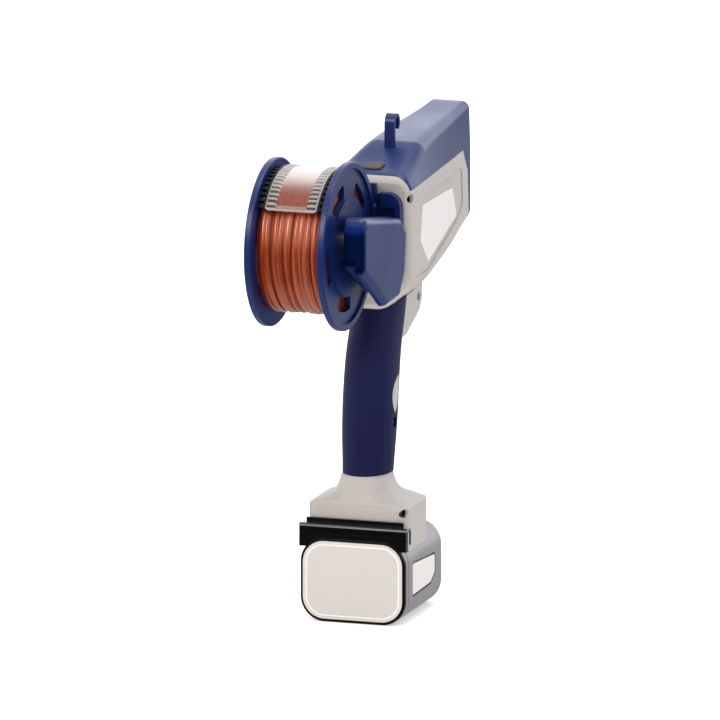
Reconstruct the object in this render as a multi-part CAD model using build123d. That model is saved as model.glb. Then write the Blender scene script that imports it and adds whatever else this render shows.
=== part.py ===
from build123d import *
from functools import lru_cache
import math
import os

# Electric vine tying tool standing on its battery, in millimetres.
# X points to the operator's right, Y forward to the jaw and Z up.
# The origin is the middle of the flat underside of the battery.

# Fits and walls
RUN_GAP = 0.4
SHAFT_PLAY = 0.05
WALL = 2.5

# Battery pack
PACK_HALF = 37.2
PACK_TOP = 58.0
PACK_CORNER = 17.0
PACK_REAR = -37.0
PACK_FRONT = 46.0
END_REAR = -40.0
LABEL_RISE = 0.7
LABEL_WIDE = 70.4
LABEL_HIGH = 53.6
LABEL_CORNER = 15.0
LABEL_RIM = 2.2
LABEL_LINE = 0.7
RAIL_HALF = 28.0
RAIL_TOP = 69.9
RAIL_FRONT = 12.0
GROOVE_LOW = 61.0
GROOVE_HIGH = 65.0
GROOVE_HALF = 24.0
LATCH_HALF = 38.0
LATCH_REAR = -39.9
LATCH_FRONT = -35.3
LATCH_TOP = 67.4
LATCH_PIVOT_Y = (LATCH_REAR + LATCH_FRONT) / 2
LATCH_PIVOT_Z = 61.6
LATCH_PIN_R = 0.8
LATCH_BAR_LOW = 51.5
LUG_SPOTS = (-20.0, 20.0)
LUG_HALF = 3.0
LUG_R = 1.3
CONTACT_SPOTS = (-15.0, -5.0, 5.0, 15.0)
CELL_R = 9.0
CELL_LENGTH = 65.0

# Foot and handle
FOOT_HALF = 35.4
FOOT_REAR = -33.0
FOOT_FRONT = 20.0
FOOT_TOP = 80.3
FOOT_CORNER = 9.0
SOCKET_ROOF = 70.4
NECK_Z = 91.0
GRIP_LOW = 99.0
SKIN = 2.2
HANDLE_LINE = ((91, -7.6, 17.0, 22.0), (113, -4.5, 17.4, 22.6), (133, -2.3, 18.2, 23.5),
               (153, 0.4, 18.3, 24.0), (173, 4.3, 18.1, 24.0), (192, 11.4, 17.7, 23.6),
               (214, 21.0, 17.2, 23.0))
THROAT_HALF = 14.6
THROAT_FRONT = 71.0

# Head
HEAD_REAR = -11.0
HEAD_FRONT = 174.0
HEAD_REAR_HALF = 32.0
HEAD_TAPER = 0.09
PANEL_WIDE = 61.0
PANEL_HIGH = 66.6
PANEL_CORNER = 12.0
PANEL_Z = 270.0
RECESS_DEEP = 1.2
SEAM_REAR = 294.3
SEAM_FRONT = 290.6
SEAM_END_Y = 150.0
ROOF_LINE = ((-11, 303.6), (20, 308.0), (46, 313.8), (74, 316.8), (122, 318.5), (174, 320.5))
ROOF_SHARE = ((-11, 0.86), (46, 0.76), (100, 0.76), (174, 0.94))
KEEL_LINE = ((-11, 210.4), (46, 210.0), (90, 216.0), (143, 226.2), (174, 234.2))

# Spool
SPOOL_Y = -76.0
SPOOL_Z = 268.0
FLANGE_R = 57.2
FLANGE_THICK = 4.6
FLANGE_OUT = 9.5
FLANGE_SPACE = 47.0
CORE_R = 20.0
WOUND_R = 46.2
AXLE_R = 5.0
RIBBON_WIDE = 4.1
RIBBON_THICK = 1.5
RIBBON_PITCH = 4.75
RIBBON_TURNS = 9
WINDOW_COUNT = 5
WINDOW_START = 46.0
WINDOW_OUT = 44.5
WINDOW_IN = 34.5
WINDOW_HALF_SPAN = 19.0
HUB_R = 34.0
KNOB_R = 11.0
FLANGE_RIGHT_IN = FLANGE_OUT - FLANGE_THICK
FLANGE_LEFT_IN = FLANGE_RIGHT_IN - FLANGE_SPACE
SPOOL_MID = (FLANGE_LEFT_IN + FLANGE_RIGHT_IN) / 2
KNOB_IN = FLANGE_LEFT_IN - FLANGE_THICK - 10.0
RETAINER_R = 50.4
RETAINER_THICK = 0.9
RETAINER_HALF = 18.3
RETAINER_START = 56.0
RETAINER_SPAN = 88.0

# Spool arm
ARM_INNER = 14.5
ARM_SPLIT = 24.0
ARM_OUTER = 30.5
ARM_ROOT_REAR = -17.5
ARM_SCREW_SPOTS = ((9.6, 240.0), (9.6, 254.0))

# Drive line in the head
MOTOR_Z = 242.0
TWIST_Z = 264.0
MODULE = 1.0
PINION_TEETH = 12
WHEEL_TEETH = 32
ROLLER_Y = 128.0
ROLLER_R = 7.5
RIBBON_Z = 286.0
INLET_Z = 277.0
HOOK_PIVOT = (176.0, 295.0)
TRIGGER_PIVOT = (45.0, 204.0)
BRAKE_PIVOT = (-15.4, 268.0)
MOTOR_R = 17.8
GEARBOX_R = 18.4
OUTPUT_R = 4.0
SHAFT_R = 5.0
BEARING_R = 9.0
BEARING_WIDE = 7.0
BEARING_SPOTS = (98.0, 152.0)
TWISTER_R = 7.0
TWISTER_REAR = 170.0
PIN_R = 2.0
TRIGGER_HALF = 6.8
SLOT_HALF = 7.4
GUIDE_END = 158.8
NOSE_HALF = 9.6
NOSE_FRONT = 181.0
NOSE_LOW = 245.0
NOSE_TOP = 306.0
FEED_Z = RIBBON_Z - 0.7 - ROLLER_R
IDLER_Z = RIBBON_Z + 0.7 + ROLLER_R

# Screws as depth forward, height and seat to the right of the middle
SCREW_SPOTS = ((-7.0, 288.5, 26.5), (60.0, 207.0, 13.2), (-3.0, 133.0, 15.6), (-29.0, 75.8, 30.0))
SCREW_HEAD_R = 2.7
SCREW_SHANK_R = 1.5
SCREW_HEAD_HIGH = 2.2

# Pieces on the roof
BUTTON_Y = 6.5
BUTTON_Z = 306.4
BUTTON_TILT = 9.0
BUTTON_RISE = 1.3
BUTTON_WIDE = 12.6
BUTTON_CORNER = 3.2
BUTTON_PLAY = 0.6
BUTTON_DEEP = 3.6
HOOK_BASE_Y = 42.0


def along_x(sketch, start, end):
    return extrude(Plane.YZ.offset(start) * sketch, amount=end - start)


def along_y(sketch, start, end):
    return extrude(Plane.XZ.offset(-start) * sketch, amount=start - end)


def along_z(sketch, start, end):
    return extrude(Plane.XY.offset(start) * sketch, amount=end - start)


def block(x0, x1, y0, y1, z0, z1):
    middle = ((x0 + x1) / 2, (y0 + y1) / 2, (z0 + z1) / 2)
    return Pos(*middle) * Box(x1 - x0, y1 - y0, z1 - z0)


def rod_x(radius, start, end, y, z):
    return along_x(Pos(y, z) * Circle(radius), start, end)


def rod_y(radius, start, end, x, z):
    return along_y(Pos(x, z) * Circle(radius), start, end)


def outline(*points):
    return make_face(Polyline(*points, close=True))


def rounded_outline(radius, *points):
    face = outline(*points)
    return fillet(face.vertices(), radius)


def between(line, at):
    # Reads a value off a line given by a few stations
    for (low, first), (high, second) in zip(line, line[1:]):
        if at <= high:
            return first + (second - first) * (at - low) / (high - low)
    return line[-1][1]


# Head shape: one section after another from the rear to the nose


def head_half(y):
    return HEAD_REAR_HALF - HEAD_TAPER * (y - HEAD_REAR)


def seam_height(y):
    return SEAM_REAR + (SEAM_FRONT - SEAM_REAR) * (y - HEAD_REAR) / (SEAM_END_Y - HEAD_REAR)


def head_section(y, inset=0.0):
    half = head_half(y)
    roof = between(ROOF_LINE, y)
    keel = between(KEEL_LINE, y)
    seam = seam_height(y)
    keel_half = 0.36 * half
    bilge = keel + 0.55 * half
    roof_half = between(ROOF_SHARE, y) * half
    face = outline((-keel_half, keel), (keel_half, keel), (half, bilge), (half, seam),
                   (roof_half, roof), (-roof_half, roof), (-half, seam), (-half, bilge))
    for height, radius in ((keel, 0.5), (bilge, 0.6), (seam, 0.22), (roof, 0.34)):
        corners = face.vertices().filter_by(lambda v: abs(v.Y - height) < 0.01)
        face = fillet(corners, radius * half)
    if inset > 0:
        face = offset(face, -inset)
    return Plane.XZ.offset(-y) * face


@lru_cache
def head_solid(inset=0.0):
    stations = [HEAD_REAR + inset] + [y for y, _ in ROOF_LINE[1:-1]]
    stations += [HEAD_FRONT - 9.0, HEAD_FRONT - inset]
    return loft([head_section(y, inset) for y in stations])


@lru_cache
def head_outer():
    # The rear and front rims are rounded by a few drawn-in sections
    rear = [(HEAD_REAR + 7.0 * (1 - math.cos(a)), 6.0 * (1 - math.sin(a)))
            for a in (math.radians(d) for d in (12, 38, 64))]
    front = [(HEAD_FRONT - 3.0 * (1 - math.cos(a)), 2.6 * (1 - math.sin(a)))
             for a in (math.radians(d) for d in (64, 38, 12))]
    middle = [(y, 0.0) for y, _ in ROOF_LINE[1:-1]]
    rows = rear + [(HEAD_REAR + 8.5, 0.0)] + middle + [(HEAD_FRONT - 4.5, 0.0)] + front
    return loft([head_section(*row) for row in rows])


@lru_cache
def cover_zone():
    # Everything above the seam and in front of the nose line
    zone = along_x(outline((-40, SEAM_REAR + 0.7), (HEAD_REAR, SEAM_REAR), (SEAM_END_Y, SEAM_FRONT),
                           (164, 274), (167.5, 236), (168, 205), (240, 205), (240, 360),
                           (-40, 360)), -60, 60)
    frame = RectangleRounded(PANEL_WIDE, PANEL_HIGH, PANEL_CORNER)
    panel = along_y(Pos(0, PANEL_Z) * frame, -40, HEAD_REAR + 6)
    return zone - panel


def handle_loft(inset, low, high):
    rows = [row for row in HANDLE_LINE if low <= row[0] <= high]
    return loft([Plane((0, y, z)) * Ellipse(a - inset, b - inset) for z, y, a, b in rows])


@lru_cache
def handle_outer():
    return handle_loft(0.0, 91, 214)


@lru_cache
def handle_core():
    return handle_loft(SKIN, 91, 214)


@lru_cache
def throat_solid():
    side = rounded_outline(5.0, (8, 240), (THROAT_FRONT, 240), (THROAT_FRONT, 204),
                           (65, 195.5), (36, 184), (8, 183))
    body = along_x(side, -THROAT_HALF, THROAT_HALF)
    rims = body.faces().filter_by(Axis.X).edges()
    return fillet(rims, 4.0)


def trigger_slot():
    side = outline((10, 152), (90, 152), (90, 180), (54, 197), (53, 211), (34, 211), (10, 196))
    return along_x(side, -SLOT_HALF, SLOT_HALF)


def pack_section(grow=0.0):
    shape = RectangleRounded(2 * (PACK_HALF + grow), PACK_TOP + 2 * grow, PACK_CORNER + grow)
    return Pos(0, PACK_TOP / 2) * shape


def foot_solid():
    middle = (FOOT_REAR + FOOT_FRONT) / 2
    length = FOOT_FRONT - FOOT_REAR
    block_face = Pos(0, middle) * RectangleRounded(2 * FOOT_HALF, length, FOOT_CORNER)
    body = along_z(block_face, 45, FOOT_TOP)
    rim = body.faces().sort_by(Axis.Z)[-1].edges()
    body = fillet(rim, 2.0)
    levels = ((FOOT_TOP - 1.0, 2 * FOOT_HALF - 2.4, length - 2.4, 9.0), (FOOT_TOP + 3.0, 56, 48, 14.0),
              (FOOT_TOP + 6.5, 43, 45, 16.5), (NECK_Z + 0.5, 36.4, 43.6, 16.9),
              (GRIP_LOW - 1.0, 33.0, 40, 16.4))
    shoulder = loft([Plane((0, HANDLE_LINE[0][1], z)) * RectangleRounded(w, d, r) for z, w, d, r in levels])
    return body + shoulder


def motor_ribs():
    # Walls that hold the motor and the gearbox in the lower half of the head
    ribs = []
    for y, radius in ((12.0, MOTOR_R), (44.0, MOTOR_R), (66.0, GEARBOX_R)):
        wall = block(-40, 40, y, y + 2.5, 200, MOTOR_Z + 8) - rod_y(radius, y - 1, y + 4, 0, MOTOR_Z)
        ribs.append(wall)
    return ribs


def leaf_window():
    arcs = (ThreePointArc((5, 164.5), (-6.5, 152), (-3.0, 139.5)),
            ThreePointArc((-3.0, 139.5), (4.8, 151), (5, 164.5)))
    return along_x(make_face(arcs), -40, 40)


def side_recess():
    # Shallow panel in each flank of the head
    panel = rounded_outline(6.0, (4, 285), (148, 279.5), (151, 252), (130, 245), (46, 229.5), (4, 231))
    normal = Vector(math.cos(math.atan(HEAD_TAPER)), math.sin(math.atan(HEAD_TAPER)), 0)
    along = Vector(-normal.Y, normal.X, 0)
    point = Vector(head_half(0), 0, 0) - normal * RECESS_DEEP
    plane = Plane(origin=point, x_dir=along, z_dir=normal)
    cut = extrude(plane * panel, amount=6)
    return cut, plane


def housing_solid():
    head = head_outer() - cover_zone()
    pads = handle_outer() & leaf_window()
    neck = handle_outer() & block(-40, 40, -60, 60, 90, GRIP_LOW)
    body = head + handle_core() + neck + pads + throat_solid() + foot_solid()
    return body


def housing_cavity():
    socket_low = 40
    rails = [block(GROOVE_HALF + RUN_GAP, RAIL_HALF + 6, FOOT_REAR, RAIL_FRONT + 2,
                   GROOVE_LOW + RUN_GAP, GROOVE_HIGH - RUN_GAP)]
    rails.append(mirror(rails[0], about=Plane.YZ))
    socket = block(-RAIL_HALF - RUN_GAP, RAIL_HALF + RUN_GAP, FOOT_REAR - 5, RAIL_FRONT + RUN_GAP,
                   socket_low, SOCKET_ROOF)
    for rail in rails:
        socket = socket - rail
    bay = block(-FOOT_HALF + WALL, FOOT_HALF - WALL, FOOT_REAR + WALL, FOOT_FRONT - WALL,
                SOCKET_ROOF + WALL, FOOT_TOP - 1.5)
    pack_room = along_y(pack_section(RUN_GAP), -80, 60)
    head_room = head_solid(WALL)
    bore = handle_loft(SKIN + WALL, 91, 214)
    drop = along_z(Pos(0, -7.6) * Ellipse(11, 15), SOCKET_ROOF + WALL, 93)
    carrier = block(-20, 20, RAIL_FRONT, FOOT_FRONT - WALL, 65.5, SOCKET_ROOF)
    return [socket, bay, pack_room, head_room, bore, drop, trigger_slot(), carrier]


def housings():
    solid = housing_solid()
    posts = [solid & rod_x(4.0, -seat, seat, y, z) for y, z, seat in SCREW_SPOTS]
    ribs = [head_solid(WALL) & rib for rib in motor_ribs()]
    body = solid - housing_cavity() + posts + ribs
    cutters = []
    for y, z, seat in SCREW_SPOTS:
        cutters.append(rod_x(SCREW_SHANK_R + 0.1, -8, seat, y, z))
        cutters.append(rod_x(SCREW_HEAD_R + 0.5, seat - SCREW_HEAD_HIGH, 45, y, z))
    recess, _ = side_recess()
    cutters.append(recess)
    cutters.append(mirror(recess, about=Plane.YZ))
    cutters.append(along_y(Pos(0, INLET_Z) * RectangleRounded(9, 3.6, 1.5), HEAD_REAR - 2, -7))
    cutters.append(trigger_pin())
    cutters += arm_screws()
    body = body - cutters
    left = body & block(-60, 0, -60, 240, 30, 340)
    right = body & block(0, 60, -60, 240, 30, 340)
    return left, right


def button_plane():
    # Lies on the roof slope, facing up and to the rear
    facing = Vector(0, 0, 1).rotate(Axis.X, BUTTON_TILT)
    return Plane((0, BUTTON_Y, BUTTON_Z), x_dir=(1, 0, 0), z_dir=facing)


def top_cover():
    shell = (head_outer() & cover_zone()) - head_solid(WALL)
    hole_wide = BUTTON_WIDE + 2 * BUTTON_PLAY
    hole = RectangleRounded(hole_wide, hole_wide, BUTTON_CORNER + BUTTON_PLAY)
    button_hole = extrude(button_plane() * hole, amount=8, both=True)
    hook_slot = block(-4.0, 4.0, HOOK_BASE_Y - 1.7, HOOK_BASE_Y + 1.3, 300, 330)
    side = NOSE_HALF + RUN_GAP
    nose_opening = block(-side, side, 160, 190, NOSE_LOW - 1, NOSE_TOP + 2)
    return shell - button_hole - hook_slot - nose_opening


def grip_sleeve():
    skin = handle_outer() - handle_core()
    skin = skin & block(-40, 40, -60, 80, GRIP_LOW + 0.2, 224)
    shadow_gap = Pos(0, 0, -0.8) * head_outer()
    skin = skin - shadow_gap - throat_solid() - leaf_window() - trigger_slot()
    y, z, _ = SCREW_SPOTS[2]
    return skin - rod_x(SCREW_HEAD_R + 0.9, 0, 40, y, z)


def housing_screws():
    screws = []
    for y, z, seat in SCREW_SPOTS:
        shank = rod_x(SCREW_SHANK_R, -7.5, seat - SCREW_HEAD_HIGH, y, z)
        head = rod_x(SCREW_HEAD_R, seat - SCREW_HEAD_HIGH, seat, y, z)
        drive = along_x(Pos(y, z) * RegularPolygon(1.5, 6), seat - 1.2, seat + 1)
        screws.append(shank + head - drive)
    return screws


def side_plate():
    # Bare pentagon plate on the floor of the right flank panel
    _, plane = side_recess()
    face = rounded_outline(1.6, (27.5, 277.3), (119, 271), (132.5, 249.5), (45, 235), (21, 254.5))
    return extrude(plane * face, amount=0.6)


def hanging_hook():
    # Upright strip whose end curls over to the front and back under
    half, strip, bend = 3.6, 2.2, 6.2
    base, top = 305.0, 328.9
    rear = HOOK_BASE_Y - 1.3
    middle = rear + bend
    stop = 50.0

    def on_curl(radius, degrees):
        angle = math.radians(degrees)
        return (middle + radius * math.cos(angle), top + radius * math.sin(angle))

    inner = bend - strip
    crest = (180 - stop) / 2
    tip = on_curl(bend - strip / 2, -stop - 12)
    edges = (Line((rear, base), (rear, top)),
             ThreePointArc((rear, top), on_curl(bend, crest), on_curl(bend, -stop)),
             ThreePointArc(on_curl(bend, -stop), tip, on_curl(inner, -stop)),
             ThreePointArc(on_curl(inner, -stop), on_curl(inner, crest), (rear + strip, top)),
             Line((rear + strip, top), (rear + strip, base)),
             Line((rear + strip, base), (rear, base)))
    body = along_x(make_face(edges), -half, half)
    foot = block(-half, half, HOOK_BASE_Y - 8, HOOK_BASE_Y + 8, base - 3, base)
    return body + foot


# Spool


def wheel(radius, start, end):
    return rod_x(radius, start, end, SPOOL_Y, SPOOL_Z)


def flange_window(start, end):
    # One arched opening between the hub disc and the rim
    span = math.radians(WINDOW_HALF_SPAN)
    points = []
    for radius, sign in ((WINDOW_OUT, -1), (WINDOW_OUT, 0), (WINDOW_OUT, 1),
                         (WINDOW_IN, 1), (WINDOW_IN, 0), (WINDOW_IN, -1)):
        points.append((radius * math.cos(sign * span), radius * math.sin(sign * span)))
    edges = (ThreePointArc(*points[:3]), Line(points[2], points[3]), ThreePointArc(*points[3:]),
             Line(points[5], points[0]))
    face = make_face(edges)
    face = fillet(face.vertices(), 2.5)
    cuts = []
    for index in range(WINDOW_COUNT):
        angle = WINDOW_START + index * 360.0 / WINDOW_COUNT
        cuts.append(along_x(Pos(SPOOL_Y, SPOOL_Z) * Rot(0, 0, angle) * face, start, end))
    return cuts


def flange(inner_x, outward):
    # Disc with a raised rim lip and a raised hub on its outer face
    outer_x = inner_x + outward * FLANGE_THICK
    web_x = inner_x + outward * (FLANGE_THICK - 1.8)
    low, high = sorted((inner_x, web_x))
    body = wheel(FLANGE_R, low, high)
    low, high = sorted((web_x, outer_x))
    rim = wheel(FLANGE_R, low, high) - wheel(FLANGE_R - 4.5, low, high)
    hub = wheel(HUB_R, low, high)
    body = body + rim + hub
    rims = body.edges().filter_by(GeomType.CIRCLE).filter_by(lambda e: e.radius > FLANGE_R - 0.1)
    body = fillet(rims, 0.9)
    low, high = sorted((inner_x - outward, outer_x + outward))
    body = body - flange_window(low, high)
    return body - wheel(AXLE_R + 3.0, low, high)


def spool_core():
    tube = wheel(CORE_R, FLANGE_LEFT_IN, FLANGE_RIGHT_IN)
    sleeve = wheel(AXLE_R + 3.0, FLANGE_LEFT_IN - FLANGE_THICK, FLANGE_OUT)
    return tube + sleeve - wheel(AXLE_R + SHAFT_PLAY, -80, 40)


def ribbon_pack():
    width = 0.3
    outer = wheel(WOUND_R, FLANGE_LEFT_IN + width, FLANGE_RIGHT_IN - width)
    return outer - wheel(CORE_R, -80, 40)


def helix_point(angle, radius, start_x):
    x = start_x - RIBBON_PITCH * angle / (2 * math.pi)
    return Vector(x, SPOOL_Y + radius * math.cos(angle), SPOOL_Z + radius * math.sin(angle))


def helix_heading(angle, radius):
    step = -RIBBON_PITCH / (2 * math.pi)
    return Vector(step, -radius * math.sin(angle), radius * math.cos(angle)).normalized()


def biarc(start, heading, end, final):
    # Two arcs that leave and arrive along the given headings
    gap = end - start
    both = heading + final
    spread = 2 * (1 - heading.dot(final))
    reach = (math.sqrt(gap.dot(both) ** 2 + spread * gap.dot(gap)) - gap.dot(both)) / spread
    return (start + end + (heading - final) * reach) * 0.5


def ribbon_winding():
    # Outer layer, laid loop beside loop from the right flange to the left one
    radius = WOUND_R + RIBBON_THICK / 2 + 0.05
    first = math.radians(60.0)
    run = RIBBON_PITCH * RIBBON_TURNS
    start_x = (FLANGE_LEFT_IN + FLANGE_RIGHT_IN + run) / 2 + RIBBON_PITCH * first / (2 * math.pi)
    edges = []
    points = []
    for index in range(4 * RIBBON_TURNS):
        here = first + index * math.pi / 2
        ahead = here + math.pi / 2
        start = helix_point(here, radius, start_x)
        end = helix_point(ahead, radius, start_x)
        middle = biarc(start, helix_heading(here, radius), end, helix_heading(ahead, radius))
        edges.append(TangentArc(start, middle, tangent=helix_heading(here, radius)))
        edges.append(TangentArc(middle, end, tangent=edges[-1] % 1))
        points.append(start)
    path = Wire(edges)
    frame = Plane(origin=path @ 0, x_dir=Vector(1, 0, 0), z_dir=path % 0)
    axis = Line(((path @ 0).X, SPOOL_Y, SPOOL_Z), ((path @ 1).X, SPOOL_Y, SPOOL_Z))
    body = sweep(frame * Ellipse(RIBBON_WIDE / 2, RIBBON_THICK / 2), path=path, binormal=axis)
    gaps = [abs(points[i + 4].X - points[i].X) - RIBBON_WIDE for i in range(len(points) - 4)]
    print("least gap of the winding to itself", round(min(gaps), 3))
    return body


def arc_band(inner, outer, x0, x1, start, span):
    # Part of a ring about the spool axis, angles from +Y towards +Z
    face = Pos((x0 + x1) / 2, (inner + outer) / 2) * Rectangle(x1 - x0, outer - inner)
    ring = revolve(Plane.XZ * face, axis=Axis.X, revolution_arc=span)
    return Pos(0, SPOOL_Y, SPOOL_Z) * Rot(start - 90, 0, 0) * ring


def retainer_sheet():
    low, high = SPOOL_MID - RETAINER_HALF, SPOOL_MID + RETAINER_HALF
    outer = RETAINER_R + RETAINER_THICK
    sheet = arc_band(RETAINER_R, outer, low, high, RETAINER_START, RETAINER_SPAN)
    count = 22
    step = RETAINER_SPAN / count
    ribs = []
    for index in range(count):
        angle = RETAINER_START + (index + 0.3) * step
        for x0, x1 in ((low, low + 7.0), (high - 7.0, high)):
            ribs.append(arc_band(outer - 0.2, outer + 0.8, x0, x1, angle, 0.4 * step))
    return sheet + ribs


def retainer_combs():
    combs = []
    for side in (-1, 1):
        near = SPOOL_MID + side * RETAINER_HALF
        far = SPOOL_MID + side * (FLANGE_SPACE / 2 - 0.3)
        spine = near + side * 1.4
        low, high = sorted((near, spine))
        comb = arc_band(RETAINER_R, RETAINER_R + 1.6, low, high, RETAINER_START, RETAINER_SPAN)
        count = 16
        low, high = sorted((near, far))
        teeth = [arc_band(RETAINER_R - 1.6, RETAINER_R + 1.6, low, high,
                          RETAINER_START + (index + 0.2) * RETAINER_SPAN / count,
                          0.5 * RETAINER_SPAN / count) for index in range(count)]
        combs.append(comb + teeth)
    return combs


def spool_axle():
    body = wheel(AXLE_R, KNOB_IN + 1.0, ARM_SPLIT - 1.0)
    collar = wheel(9.0, FLANGE_OUT + 0.5, ARM_INNER)
    return body + collar


def spool_knob():
    # Ribbed knob that holds the spool on its axle
    start = FLANGE_LEFT_IN - FLANGE_THICK - 0.5
    body = wheel(KNOB_R, KNOB_IN, start)
    body = fillet(body.edges().filter_by(GeomType.CIRCLE), 1.0)
    count = 10
    ring = KNOB_R + 0.6
    turns = [index * 2 * math.pi / count for index in range(count)]
    flutes = [rod_x(1.6, KNOB_IN - 1, start - 2.5, SPOOL_Y + ring * math.cos(turn),
                    SPOOL_Z + ring * math.sin(turn)) for turn in turns]
    return body - flutes - wheel(AXLE_R + SHAFT_PLAY, KNOB_IN + 0.6, start + 1)


# Arm that carries the spool from the rear of the head


def arm_outline():
    face = outline((-103, 293.5), (-25, 279), (-12.8, 267.5), (-16.5, 241), (-28, 225),
                   (-57, 224), (-108, 257), (-108, 284))
    return fillet(face.vertices(), 6.0)


def beam_outline():
    # Like the cover but drawn up along its lower edge
    face = outline((-103, 293.5), (-25, 279), (-12.8, 267.5), (-16.5, 246), (-30, 234),
                   (-62, 234), (-108, 262), (-108, 284))
    return fillet(face.vertices(), 6.0)


def arm_root():
    return along_y(Pos(15.6, 262.4) * RectangleRounded(21.4, 61.6, 9.5), ARM_ROOT_REAR, HEAD_REAR + 1.5)


def brake_pocket():
    return block(2.0, 12.6, ARM_ROOT_REAR - 5, HEAD_REAR - 0.6, 262, 305)


def arm_screw_cut():
    cuts = []
    for x, z in ARM_SCREW_SPOTS:
        cuts.append(rod_y(SCREW_SHANK_R + 0.1, ARM_ROOT_REAR - 1, 0, x, z))
        cuts.append(rod_y(SCREW_HEAD_R + 0.4, ARM_ROOT_REAR - 1, ARM_ROOT_REAR + 3.2, x, z))
    return cuts


def spool_arm():
    beam = along_x(beam_outline(), ARM_INNER + 1.5, ARM_SPLIT)
    boss = wheel(17.0, ARM_INNER, ARM_SPLIT)
    body = beam + boss + arm_root()
    recess = along_y(Pos(16.2, 276.0) * RectangleRounded(12.6, 15.6, 2.5), ARM_ROOT_REAR - 1,
                     ARM_ROOT_REAR + 4)
    body = body - head_outer() - brake_pocket() - recess - arm_screw_cut()
    return body - wheel(AXLE_R, ARM_INNER - 1, ARM_SPLIT - 1.0)


def arm_cover():
    body = along_x(arm_outline(), ARM_SPLIT, ARM_OUTER)
    rim = body.faces().sort_by(Axis.X)[-1].edges()
    body = fillet(rim, 5.0)
    return body - head_outer() - arm_root()


def arm_screws():
    screws = []
    for x, z in ARM_SCREW_SPOTS:
        seat = ARM_ROOT_REAR + 3.2
        body = rod_y(SCREW_SHANK_R, seat, HEAD_REAR + 1.5, x, z)
        head = rod_y(SCREW_HEAD_R, seat - 2.0, seat, x, z)
        drive = along_y(Pos(x, z) * RegularPolygon(1.5, 6), seat - 3, seat - 0.9)
        screws.append(body + head - drive)
    return screws


def brake_lever():
    # Sprung lever whose pad rubs the rim of the right flange
    y, z = BRAKE_PIVOT
    pad = -19.2
    side = outline((y - 1.8, z - 3), (y + 1.4, z - 3), (y + 1.4, 294), (y, 300), (y - 3.2, 300),
                   (y - 3.2, 293), (y - 1.8, 286), (pad, 284), (pad, 278), (y - 1.8, 274))
    body = along_x(side, 5.4, 9.4)
    hub = rod_x(3.2, 5.4, 9.4, y, z)
    return body + hub - rod_x(1.5 + SHAFT_PLAY, 0, 20, y, z)


def brake_pin():
    return rod_x(1.5, 2.0, 12.6, *BRAKE_PIVOT)


# Battery


def battery_case():
    outer = along_y(pack_section(), PACK_REAR, PACK_FRONT)
    outer = fillet(outer.faces().sort_by(Axis.Y)[-1].edges(), 7.0)
    room = along_y(pack_section(-WALL), PACK_REAR - 1, PACK_FRONT - 6)
    recess = along_x(side_label_face(1.4), PACK_HALF - 1.5, PACK_HALF + 1)
    groove = along_y(pack_section(1.0) - pack_section(-0.8), PACK_REAR + 4.5, PACK_REAR + 5.5)
    return outer - room - recess - groove


def side_label_face(grow=0.0):
    face = rounded_outline(1.5, (-22, 18.5), (-22, 40), (26, 37), (26, 25), (17, 19.5))
    return offset(face, grow) if grow else face


def battery_side_plate():
    return along_x(side_label_face(), PACK_HALF - 1.5, PACK_HALF - 0.2)


def battery_end():
    plate = along_y(pack_section(), END_REAR, PACK_REAR)
    plate = fillet(plate.faces().sort_by(Axis.Y)[0].edges(), 1.2)
    behind_pack = along_y(pack_section(), PACK_REAR, 0)
    bar = block(-LATCH_HALF, LATCH_HALF, LATCH_REAR, LATCH_FRONT, LATCH_BAR_LOW, LATCH_PIVOT_Z - 0.4)
    bar = bar - behind_pack - rod_x(latch_barrel_r() + 0.35, -40, 40, LATCH_PIVOT_Y, LATCH_PIVOT_Z)
    for x in LUG_SPOTS:
        low, high = x - LUG_HALF, x + LUG_HALF
        stem = block(low, high, LATCH_PIVOT_Y + 0.3, LATCH_FRONT, 57, LATCH_PIVOT_Z + 0.9)
        bar = bar + (stem - behind_pack) + rod_x(LUG_R, low, high, LATCH_PIVOT_Y, LATCH_PIVOT_Z)
    return plate + bar - latch_pin()


def latch_barrel_r():
    return (LATCH_FRONT - LATCH_REAR) / 2


def battery_latch():
    # Bar that swings back about its lower edge, with a thin claw at each end
    bar = block(-LATCH_HALF, LATCH_HALF, LATCH_REAR, LATCH_FRONT, LATCH_PIVOT_Z, LATCH_TOP)
    bar = fillet(bar.faces().sort_by(Axis.Z)[-1].edges().filter_by(Axis.X), 0.9)
    bar = bar + rod_x(latch_barrel_r(), -LATCH_HALF, LATCH_HALF, LATCH_PIVOT_Y, LATCH_PIVOT_Z)
    for x in LUG_SPOTS:
        low, high = x - LUG_HALF - 0.4, x + LUG_HALF + 0.4
        bar = bar - rod_x(LUG_R + 0.35, low, high, LATCH_PIVOT_Y, LATCH_PIVOT_Z)
        bar = bar - block(low, high, LATCH_PIVOT_Y - 0.2, LATCH_FRONT + 1, LATCH_PIVOT_Z, LATCH_PIVOT_Z + 2.2)
        bar = bar - block(low, high, LATCH_PIVOT_Y - 1.1, LATCH_FRONT + 1, LATCH_PIVOT_Z - 4, LATCH_PIVOT_Z)
    for side in (-1, 1):
        low, high = sorted((side * (LATCH_HALF - 0.9), side * LATCH_HALF))
        reach = block(low, high, LATCH_FRONT - 0.5, LATCH_FRONT + 6.0, LATCH_TOP - 2.6, LATCH_TOP - 1.2)
        claw = block(low, high, LATCH_FRONT + 4.8, LATCH_FRONT + 6.0, LATCH_BAR_LOW + 3.6, LATCH_TOP - 1.2)
        bar = bar + reach + claw
    return bar - rod_x(LATCH_PIN_R + SHAFT_PLAY, -30, 30, LATCH_PIVOT_Y, LATCH_PIVOT_Z)


def latch_pin():
    return rod_x(LATCH_PIN_R, -29, 29, LATCH_PIVOT_Y, LATCH_PIVOT_Z)


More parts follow.
